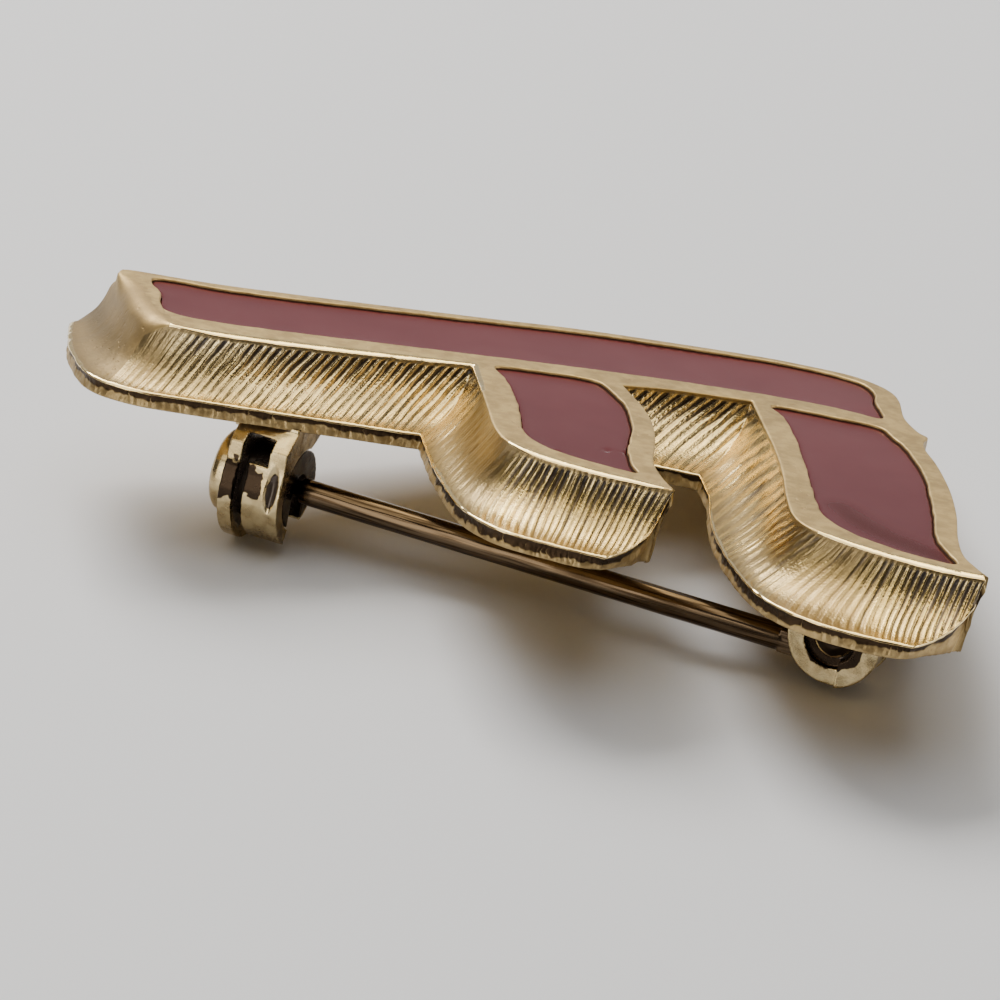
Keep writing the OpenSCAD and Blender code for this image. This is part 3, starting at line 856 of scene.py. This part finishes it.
def back_gold():
    """Plain cast back, satin, with a few scratches."""
    f = Finish("cast_gold_back", Metallic=1.0)
    clouds = f.lumps(2.2, detail=4.0)
    grain = f.lumps(0.12, detail=2.0)
    scratch = f.streaks(f.along((0.7, 0.7, 0.0)) / 0.09, f.along((0.7, -0.7, 0.0)) / 3.0,
        f.along((0.0, 0.0, 1.0)), 5.0)
    tone = f.blend(clouds.rise(0.3, 0.7), GOLD, DEEP_GOLD)
    return f.feed(Base_Color=tone, Roughness=0.32 + clouds * 0.2 + grain * 0.08,
        Normal=f.relief(grain * 0.5 + scratch * 0.4 + clouds, 0.012))


def finding_gold(name, roughness, light, dark):
    """Plated small parts: bright, with worn patches; painted shade where other metal closes them
    off, and painted shade and dark painted reflections from each piece's own mask.
    """
    f = Finish(name, Metallic=1.0)
    patches = f.lumps(0.7)
    grain = f.lumps(0.1, detail=2.0)
    # Painted shade: where other metal closes a point off, the colour is darkened and made less
    # metallic
    occlusion_shade = (f.mark("mark") + patches * 0.1 - 0.05).rise(0.5, 0.75)
    tone = f.blend(patches.rise(0.4, 0.6), light, dark)
    tone = f.blend(grain.rise(0.62, 0.78) * 0.35, tone, WORN)
    # Painted shade and dark painted reflections, from each piece's own mask
    tone = f.blend((f.mark("painted_shade") + patches * 0.3 - 0.15).rise(0.25, 0.65), tone, PAINTED_DARK)
    return f.feed(Base_Color=f.blend(occlusion_shade, tone, CLOSED_OFF_SHADE), Metallic=1 - occlusion_shade * 0.7,
        Roughness=roughness + patches * 0.08 + grain * 0.05,
        Normal=f.relief(patches * 0.7 + grain * 0.4, 0.01))


def wire_gold():
    """Drawn wire, its colour kept dark as painted shade for the letter's dark underside that it
    reflects, with fine lines along it.
    """
    f = Finish("drawn_wire", Metallic=1.0)
    along = HINGE.to_3x3() @ Vector((1, 0, 0))
    beside = HINGE.to_3x3() @ Vector((0, 1, 0))
    lines = f.streaks(f.along(along) / 2.5, f.along(beside) / 0.08, f.along((0, 0, 1)) / 0.08, 3.0)
    patches = f.lumps(1.1)
    # Painted shade: a dark base colour stands in for the dark underside the wire reflects
    tone = f.blend(lines.rise(0.4, 0.65), rgb(0.12, 0.083, 0.05), rgb(0.038, 0.024, 0.013))
    tone = f.blend(patches.rise(0.5, 0.7) * 0.3, tone, rgb(0.07, 0.046, 0.026))
    return f.feed(Base_Color=tone, Roughness=0.1 + lines * 0.1 + patches * 0.06,
        Normal=f.relief(lines, 0.006))


def pocket_gold():
    """Walls of the pockets, darkened as painted shade."""
    f = Finish("pocket_wall_shade", Metallic=0.6, Roughness=0.55)
    grain = f.lumps(0.2, detail=2.0)
    return f.feed(Base_Color=f.blend(grain, rgb(0.045, 0.022, 0.014), rgb(0.11, 0.06, 0.03)))


def mauve_enamel():
    """Glossy mauve enamel, faintly clouded, with painted shadow along its edges and a painted
    reflection streak.
    """
    f = Finish("mauve_enamel", Coat_Weight=0.05, Coat_Roughness=0.05, Roughness=0.22,
        Specular_IOR_Level=0.06)
    clouds = f.lumps(3.5, detail=2.0)
    specks = f.lumps(0.16, detail=1.0)
    shadow_and_reflection = f.mark("mark")
    tone = f.blend(clouds.rise(0.3, 0.7), rgb(0.126, 0.0205, 0.0255), rgb(0.140, 0.0255, 0.0305))
    arms = f.along((1.0, 0.0, 0.0)).rise(-6.0, 9.0)
    tone = f.blend(arms * 0.6, tone, rgb(0.098, 0.0135, 0.0175))
    tone = f.blend(specks.rise(0.72, 0.8) * 0.4, tone, rgb(0.08, 0.016, 0.022))
    # Painted shadow along the edges and painted reflection in the streak
    tone = f.blend((shadow_and_reflection * 1.1).clipped(), tone, rgb(0.07, 0.0002, 0.0004))
    return f.feed(Base_Color=tone, Normal=f.relief(clouds + specks * 0.03, 0.012))


FACE, BRUSHED, CAST, BACK, POCKET, RIM = range(6)
# Rounded edge and wall of a pocket: how far out, and the height
POCKET_EDGE = [(0.07, 0), (0.03, -0.012), (0.006, -0.045), (0, -0.1), (0, -POCKET_DEPTH)]


def letter_casting(finishes):
    grid, marks, plain, filed = casting_wall()
    shell = Shell()

    def part(first, last, finish):
        """Rows of the wall in one finish."""
        rows = slice(first, last + 1)
        shell.rings(grid[rows], finish, {name: table[rows] for name, table in marks.items()})

    # Face, rounded rim, scooped wall, rough edge with its foot, and back
    part(0, 1, FACE)
    part(1, SCOOP_FROM, np.tile(np.where(filed, RIM, FACE), SCOOP_FROM - 1))
    part(SCOOP_FROM, SCOOP_TO, np.tile(np.where(plain, FACE, BRUSHED), SCOOP_ROWS))
    part(SCOOP_TO, LIP_TO, RIM)
    part(LIP_TO, ROWS - 1, CAST)
    pockets = []
    for name, table in FIELDS.items():
        edge = field_edge(table)
        out = outward(edge)
        rings = np.array([at_height(edge + out * shift, z) for shift, z in POCKET_EDGE])
        pockets.append(rings[0, :, :2])
        shell.rings(rings[:4], FACE, flip=True)
        shell.rings(rings[3:], POCKET, flip=True)
        shell.plate([edge], -POCKET_DEPTH, POCKET)
    shell.plate([distinct(grid[0])] + pockets, 0, FACE)
    shell.plate([distinct(grid[-1])], -CASTING_T, BACK, up=False)
    show("letter_casting", shell.mesh("letter_casting"), finishes, "letter",
        "letter_frame")


def distinct(ring):
    """A ring's outline, without the points that repeat their neighbour."""
    return ring[length(ring - np.roll(ring, 1, 0)) > 0.001, :2]


FIELD_STEPS = 14
SHRUNK, FLOOR_GAP = 0.022, 0.01
# Spacing of the points inside, and how far in the close rings of points lie
ENAMEL_STEP, ENAMEL_RINGS = 0.19, (0.02, 0.05, 0.1, 0.18)
# Pits in the enamel: place, size, depth. Middle line of the painted reflection streak: places.
PITS = [(11.01, 19.41, 0.09, 0.09), (11.05, 20.1, 0.07, 0.08), (12.2, 17.3, 0.08, 0.07),
    (1.2, 7.3, 0.05, 0.04), (8.4, 29.2, 0.05, 0.04)]
REFLECTION_STREAK = np.array([(13.9, 27.95), (15.35, 28.6), (16.5, 29.3), (17.3, 30.1), (18, 30.8),
    (18.6, 31.3)])
REFLECTION_STREAK_WIDTH = 0.68


def field_edge(table):
    """Edge of an enamel field, a little uneven as it was filled by hand."""
    edge = closed_curve(table, FIELD_STEPS)
    wave = 0.035 * drift(41, 0.8, *edge.T) + 0.018 * drift(42, 0.3, walked(edge))
    return edge + evened(outward(edge), 4, 2) * wave[:, None]


def enamel_piece(name, table, finish):
    """Enamel that shrank a little from its pocket, with a rounded edge, faint waves and pits."""
    wall = field_edge(table)
    out = outward(wall)
    edge = wall - out * SHRUNK
    x, y = np.meshgrid(*[np.arange(a.min(), a.max(), ENAMEL_STEP) for a in edge.T])
    inner = np.column_stack([x.ravel(), y.ravel()])
    inner = inner[is_inside(inner, edge)]
    extra = [inner[distance(inner, edge) > ENAMEL_RINGS[-1] + 0.08]]
    for inset in ENAMEL_RINGS:
        ring = edge - out * inset
        ring = ring[is_inside(ring, edge)]
        extra.append(ring[distance(ring, edge) > inset * 0.93])

    def height(points, deep):
        z = -ENAMEL_SUNK + 0.035 - 0.075 * np.exp(-deep / 0.035) - 0.02 * (1 - np.exp(-deep / 0.3))
        z = z + 0.004 * drift(51, 2.6, *points.T)
        for px, py, size, down in PITS:
            z = z - down * np.exp(-((points - (px, py)) ** 2).sum(1) / size ** 2)
        return z

    flat, faces = fill([edge], extra)
    deep = distance(flat, edge)
    # Painted shadow along the edge, and a painted reflection as a dark streak in the top arm's
    # field
    mark = 0.55 * np.exp(-deep / 0.1)
    reflection = np.exp(-(distance(flat, REFLECTION_STREAK, closed=False) / REFLECTION_STREAK_WIDTH) ** 2)
    mark = np.maximum(mark, reflection * ease(flat[:, 1], 26.8, 28.6))
    shell = Shell()
    shell.add(at_height(flat, height(flat, deep)), faces.tolist(), marks={"mark": mark})
    floor_z = FLOOR_GAP - POCKET_DEPTH
    shell.rings(np.array([at_height(edge, height(edge, np.zeros(len(edge)))),
        at_height(edge, floor_z)]))
    shell.plate([edge], floor_z, up=False)
    show(name + "_fill", shell.mesh(name), [finish], "letter", name)


# Findings: the small parts under the letter, with the softened edges of stamped and cast metal
def solid_of(node):
    """A copy of a CAD node's mesh in the letter's frame, in millimetres."""
    work = bmesh.new()
    work.from_mesh(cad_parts[node].data)
    work.transform(LETTER.inverted())
    bmesh.ops.remove_doubles(work, verts=work.verts, dist=CAD_WELD)
    return work


def cut(work, point, direction, rise=0):
    """Takes off what lies beyond a plane and closes the cut, after drawing it out by rise."""
    bmesh.ops.bisect_plane(work, geom=work.verts[:] + work.edges[:] + work.faces[:],
        plane_co=point, plane_no=direction, clear_outer=True)
    rim = [e for e in work.edges if e.is_boundary]
    if rise:
        for part in bmesh.ops.extrude_edge_only(work, edges=rim)["geom"]:
            if isinstance(part, bmesh.types.BMVert):
                part.co += Vector(direction) * rise
        rim = [e for e in work.edges if e.is_boundary]
    bmesh.ops.triangle_fill(work, edges=rim, use_beauty=True)


def keep_near(work, point, reach):
    """Keeps the loose parts whose faces lie near a point."""
    far = [v for v in work.verts if (v.co - Vector(point)).length > reach]
    bmesh.ops.delete(work, geom=far, context="VERTS")


def mesh_of(work, name):
    mesh = bpy.data.meshes.new(name)
    work.to_mesh(mesh)
    work.free()
    return mesh


def softened(work, name, voxel):
    """Remeshes a solid finely and smooths its edges."""
    bmesh.ops.recalc_face_normals(work, faces=work.faces)
    block = placed(name + "_block", mesh_of(work, name))
    remesh = block.modifiers.new("fine", "REMESH")
    remesh.mode = "VOXEL"
    remesh.voxel_size = voxel
    remesh.use_smooth_shade = True
    smooth = block.modifiers.new("soft", "SMOOTH")
    smooth.factor, smooth.iterations = 0.5, 3
    bpy.context.view_layer.update()
    shaped = bpy.data.meshes.new_from_object(
        block.evaluated_get(bpy.context.evaluated_depsgraph_get()))
    bpy.data.objects.remove(block)
    shaped.name = name
    return shaped


def rows_of(items, key):
    """Three numbers from each point of a mesh, one point to a row."""
    flat = np.zeros(len(items) * 3, np.float32)
    items.foreach_get(key, flat)
    return flat.reshape(-1, 3).astype(float)


def points_of(mesh):
    return rows_of(mesh.vertices, "co")


def normals_of(mesh):
    return rows_of(mesh.vertex_normals, "vector")


def moved(mesh, at):
    mesh.vertices.foreach_set("co", at.astype(np.float32).ravel())
    mesh.update()
    return mesh


def carried(at, matrix):
    """Points, one to a row, taken through a matrix."""
    matrix = np.array(matrix)
    return at @ matrix[:3, :3].T + matrix[:3, 3]


def roughened(mesh, seed, size, depth):
    """Cast or stamped unevenness, cut into a mesh along its normals."""
    at = points_of(mesh)
    return moved(mesh, at - normals_of(mesh) * (depth * speckle(seed, size, *at.T))[:, None])


def hollowed(mesh, frame_of, depth, share):
    """Sinks a mesh's points toward an axis, the z axis of a frame of its own."""
    at = carried(points_of(mesh), frame_of.inverted())
    sunk = depth * share(*at.T) / np.maximum(np.hypot(at[:, 0], at[:, 1]), 0.1)
    at[:, :2] -= at[:, :2] * sunk[:, None]
    return moved(mesh, carried(at, frame_of))


RAYS, RAY_LIFT, RAY_REACH, RAY_BLOCK = 24, 0.1, 2.2, 0.11


def shaded(mesh):
    """Marks each point of a mesh with the share of its outlook that other metal closes off, which
    the finish paints as shade.
    """
    at, normal = points_of(mesh), normals_of(mesh)
    # One sample for each small block of space, then smoothed along the mesh
    cells = np.column_stack([np.floor(at / RAY_BLOCK), np.round(normal * 1.2)]).astype(int)
    _, sample, back = np.unique(cells, axis=0, return_index=True, return_inverse=True)
    step = np.arange(RAYS) + 0.5
    round_up = step * math.pi * (3 - math.sqrt(5))
    wide = np.sqrt(step / RAYS)
    ways = at_height(np.column_stack([wide * np.cos(round_up), wide * np.sin(round_up)]),
        np.sqrt(1 - step / RAYS))
    closed = np.zeros(len(sample))
    for i, vert in enumerate(sample):
        up = Vector(normal[vert])
        aim = up.to_track_quat("Z", "Y").to_matrix()
        start = Vector(at[vert]) + up * RAY_LIFT
        hits = sum(METAL.ray_cast(start, aim @ Vector(w), RAY_REACH)[0] is not None for w in ways)
        closed[i] = hits / RAYS
    shade = closed[np.ravel(back)]
    ends = np.zeros(len(mesh.edges) * 2, np.int32)
    mesh.edges.foreach_get("vertices", ends)
    a, b, n = ends[::2], ends[1::2], len(at)
    degree = np.bincount(ends, minlength=n)
    for _ in range(5):
        total = np.bincount(a, shade[b], n) + np.bincount(b, shade[a], n)
        shade = (shade + total / degree) / 2
    return marked(mesh, "mark", shade)


def painted_shade_marked(mesh, frame_of, how_much):
    """Marks a piece's painted shade and dark painted reflections, worked out from places in a
    frame of its own.
    """
    x, y, z = carried(points_of(mesh), frame_of.inverted()).T
    ragged = 0.11 * drift(81, 0.35, x, y, z) + 0.05 * drift(82, 0.12, x, y, z)
    return marked(mesh, "painted_shade", np.clip(how_much(x, y, z, ragged), 0, 1))


def within(x, low, high, soft=0.06):
    """1 between two values and 0 outside them, with soft steps."""
    return ease(x, low - soft, low + soft) * (1 - ease(x, high - soft, high + soft))


def housing_painted_shade(x, y, z, ragged):
    """Painted dark reflections and painted shade round the catch: its axis is z, and the turn is
    measured from the front upward.
    """
    round_at = np.degrees(np.arctan2(y, x)) / 60 + ragged
    shade_mask = within(z, 1.85, 2.6) * within(round_at, -0.18, 0.47)
    shade_mask = np.maximum(shade_mask, within(z + ragged, 0.85, 1.6) * within(round_at, -0.05, 0.4))
    shade_mask = np.maximum(shade_mask, 0.5 * within(z + ragged, 0.6, 1.35) * within(round_at, 0.55, 0.85))
    # Painted shade on the end face
    shade_mask = np.maximum(shade_mask, 0.45 * (1 - ease(z, 0, 0.07)))
    # Painted shade in the lens-shaped recess
    return np.maximum(shade_mask, ease(recess(x, y, z), 0.2, 0.6))


def recess(x, y, z):
    """A shallow lens-shaped recess in the near cheek's edge, deepest in its middle."""
    off = ((z - 0.4) / 0.26) ** 2 + ((np.degrees(np.arctan2(y, x)) - 8) / 24) ** 2
    return np.where(np.hypot(x, y) > 1.8, np.clip(1 - off, 0, 1), 0)


def ear_painted_shade(x, y, z, ragged):
    """Painted shade: the dished seats of the rivet's heads are dark, and the gap between the ears
    a little dark.
    """
    from_axis = np.hypot(x, z) + ragged
    return np.maximum((1 - ease(from_axis, 1.2, 1.34)) * (abs(y) > 0.7), 0.25 * (abs(y) < 0.62))


def rivet_painted_shade(x, y, z, ragged):
    # Painted shade over the rivet, with the low rim of its head left bright as a painted highlight
    from_axis = np.hypot(x, z) + ragged * 0.5
    low_rim = ease(-z, 0.1, 0.5) * ease(from_axis, 0.66, 0.76)
    return 0.9 - 0.9 * low_rim


def roller_painted_shade(x, y, z, ragged):
    """Painted shade over the roller, but for an edge of its near end left bright as a painted
    highlight; the button is left unshaded.
    """
    from_axis = np.hypot(x, y) + ragged * 0.3
    edge = within(from_axis, 1.5, 1.75, 0.03) * (x < 0) * (1 - ease(y, 0.1, 0.4))
    return np.where(z < 2.3, 0.95 - 0.95 * edge, 0)


def closing_metal():
    """The whole brooch as the findings see it, in the letter's frame and in millimetres."""
    whole = bmesh.new()
    for node in ("letter_frame", "hinge_rivet", "pin_stem", "catch_roller"):
        whole.from_mesh(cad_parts[node].data)
    whole.transform(LETTER.inverted())
    return BVHTree.FromBMesh(whole)


def under_the_letter(point, reach):
    """The finding near a point of the letter's back, with its plate let into the casting."""
    work = solid_of("letter_frame")
    cut(work, (0, 0, -CASTING_T - 0.03), (0, 0, 1), rise=0.15)
    keep_near(work, point, reach)
    return work


def finding(name, work, finish, voxel, uneven, body, node, frame_of, painted_shade_of, sunk=0):
    """A small part: softened, made uneven by seed, size and depth, and marked for painted shade,
    both where other metal closes it off and in patches of its own frame.
    """
    mesh = roughened(softened(work, name, voxel), *uneven)
    if sunk:
        hollowed(mesh, frame_of, sunk, recess)
    show(name, painted_shade_marked(shaded(mesh), frame_of, painted_shade_of), [finish], body, node)


TIP_R, WIRE_FROM, WIRE_TO, TIP_TO, POINT_TO = 0.35, 2.2, 22.5, 23.7, 24.3


def pin_wire(finish):
    """Drawn wire with a ground point, and its flattened root with the hub."""
    work = solid_of("pin_stem")
    along = (HINGE.to_3x3() @ Vector((1, 0, 0))).normalized()
    cut(work, HINGE @ Vector((WIRE_FROM + 0.3, 0, -WIRE_DROP)), along)
    root = roughened(softened(work, "pin_root", 0.04), 65, 0.4, 0.015)
    show("pin_root", root, [finish], "pin", "pin_stem")
    profile = [(WIRE_FROM, 0.3), (WIRE_FROM + 0.02, WIRE_R - 0.04), (WIRE_FROM + 0.06, WIRE_R)]
    profile += [(x, WIRE_R) for x in np.linspace(WIRE_FROM + 0.1, WIRE_TO - 0.06, 90)]
    profile += [(WIRE_TO, WIRE_R - 0.03), (WIRE_TO + 0.1, TIP_R + 0.04), (WIRE_TO + 0.25, TIP_R)]
    profile += [(TIP_TO + (POINT_TO - TIP_TO) * t, TIP_R * (1 - 0.75 * t ** 1.5))
        for t in np.linspace(0, 0.96, 8)]
    profile += [(POINT_TO - 0.005, 0.04), (POINT_TO, 0.002)]
    turns = np.linspace(0, 2 * math.pi, 48, endpoint=False)
    grid = np.zeros((len(profile), len(turns), 3))
    for row, (x, r) in enumerate(profile):
        # Drawing left it a touch uneven along its length
        here = np.full(len(turns), x)
        rough = r - 0.008 * speckle(71, 0.35, here * 0.25, turns * 1.5) * (r > 0.3)
        grid[row] = np.stack([here, rough * np.cos(turns), rough * np.sin(turns) - WIRE_DROP], 1)
    shell = Shell()
    shell.rings(grid, 0, flip=True)
    shell.add(grid[0], [range(len(turns))[::-1]], 0, False)
    shell.add(grid[-1], [range(len(turns))], 0, False)
    show("pin_wire", shell.mesh("pin_wire"), [finish], "pin", "pin_stem",
        LETTER @ HINGE)


# Studio: floor and light
def stage(name, work, paint, tint):
    """A thing of the studio round the brooch, in one plain colour."""
    mesh = mesh_of(work, name)
    made = placed(name, mesh)
    paint.shader.inputs["Base Color"].default_value = tint
    mesh.materials.append(paint.material)
    return made


def floor():
    work = bmesh.new()
    bmesh.ops.create_grid(work, x_segments=8, y_segments=8, size=1.2)
    stage("floor", work, Finish("pale_floor", Roughness=0.7), rgb(0.80, 0.80, 0.81))


def card(name, places, tint, glow=0.0):
    """A card beside the brooch that is seen only in reflections, as photographers use."""
    work = bmesh.new()
    work.faces.new([work.verts.new(Vector(c) * MM) for c in places])
    paint = Finish(name, Roughness=1.0, Emission_Strength=glow, Emission_Color=tint)
    made = stage(name, work, paint, tint)
    made.visible_camera = made.visible_diffuse = made.visible_shadow = False


LAMP_AIM = Vector((0, 0, 0.004))


def lamp(name, place, size, power, tint):
    data = bpy.data.lights.new(name, "AREA")
    data.shape = "RECTANGLE"
    data.size, data.size_y = size
    data.energy, data.color = power, tint
    made = placed(name, data)
    made.location = place
    made.rotation_euler = (LAMP_AIM - Vector(place)).to_track_quat("-Z", "Y").to_euler()


def room():
    """Light of the room: bright overhead, and dark low down on the camera's side."""
    world = bpy.data.worlds.new("room")
    bpy.context.scene.world = world
    sheet = Sheet(world)
    way = sheet.node("ShaderNodeTexCoord", {}, {}, "Generated")
    up, near, high, far = [sheet.dot(way, toward) for toward in (
        (-0.16, 0.14, 0.977), (-0.15, -0.97, 0.2), (0.0, 0.0, 1.0), (0.25, 0.97, 0.0))]
    sky = sheet.blend(high.rise(0.25, 0.8), rgb(0.065, 0.06, 0.053), rgb(0.17, 0.165, 0.16))
    sky = sheet.blend(far.rise(0.3, 0.9), sky, rgb(0.52, 0.51, 0.50))
    sky = sheet.blend(up.rise(0.76, 0.88), sky, rgb(1.25, 1.25, 1.25))
    sky = sheet.blend(near.rise(0.6, 0.8), sky, rgb(0.02, 0.016, 0.014))
    back = sheet.tree.nodes["Background"]
    sheet.tree.links.new(sky.socket, back.inputs["Color"])
    back.inputs["Strength"].default_value = 1.0


floor()
card("dark_card", [(-34, -45, 0), (40, -45, 0), (40, -52, 34), (-34, -52, 34)],
    rgb(0.015, 0.012, 0.01))
card("bright_card", [(-50, -110, 2), (-90, -48, 2), (-78, -40, 66), (-42, -95, 75)],
    rgb(0.8, 0.77, 0.70), 3.2)
card("high_card", [(-115, -75, 150), (75, -75, 150), (75, 115, 150), (-115, 115, 150)],
    rgb(0.8, 0.74, 0.58), 2.2)
card("strip_card", [(-70, 48, 148), (75, 48, 148), (75, 114, 148), (-70, 114, 148)],
    rgb(0.85, 0.76, 0.52), 6.5)
card("right_card", [(95, -70, 2), (95, 30, 2), (95, 30, 55), (95, -70, 55)],
    rgb(0.8, 0.74, 0.62), 4.0)
room()
lamp("key", (-0.14, 0.32, 0.36), (0.26, 0.26), 3.0, (1.0, 0.98, 0.95))

finishes = [face_gold(), brushed_gold(), cast_gold(), back_gold(), pocket_gold(), filed_gold()]
letter_casting(finishes)
enamel = mauve_enamel()
for name, table in FIELDS.items():
    enamel_piece(name, table, enamel)

METAL = closing_metal()
plated = finding_gold("plated_findings", 0.2, SATIN_PLATE, WORN_PLATE)
finding("hinge_ears", under_the_letter(HINGE.translation, 4.5), plated, 0.05, (61, 0.5, 0.03),
    "letter", "letter_frame", HINGE, ear_painted_shade)
finding("catch_housing", under_the_letter(CATCH.translation, 6), plated, 0.05, (62, 0.5, 0.03),
    "letter", "letter_frame", CATCH, housing_painted_shade, sunk=0.22)
finding("hinge_rivet_peened", solid_of("hinge_rivet"),
    finding_gold("peened_rivet", 0.18, GOLD, WORN), 0.035, (63, 0.3, 0.02),
    "letter", "hinge_rivet", HINGE, rivet_painted_shade)
finding("catch_roller_button", solid_of("catch_roller"),
    finding_gold("plated_roller", 0.2, SATIN_PLATE, WORN_PLATE), 0.04, (64, 0.5, 0.015),
    "roller", "catch_roller", CATCH, roller_painted_shade)
pin_wire(wire_gold())
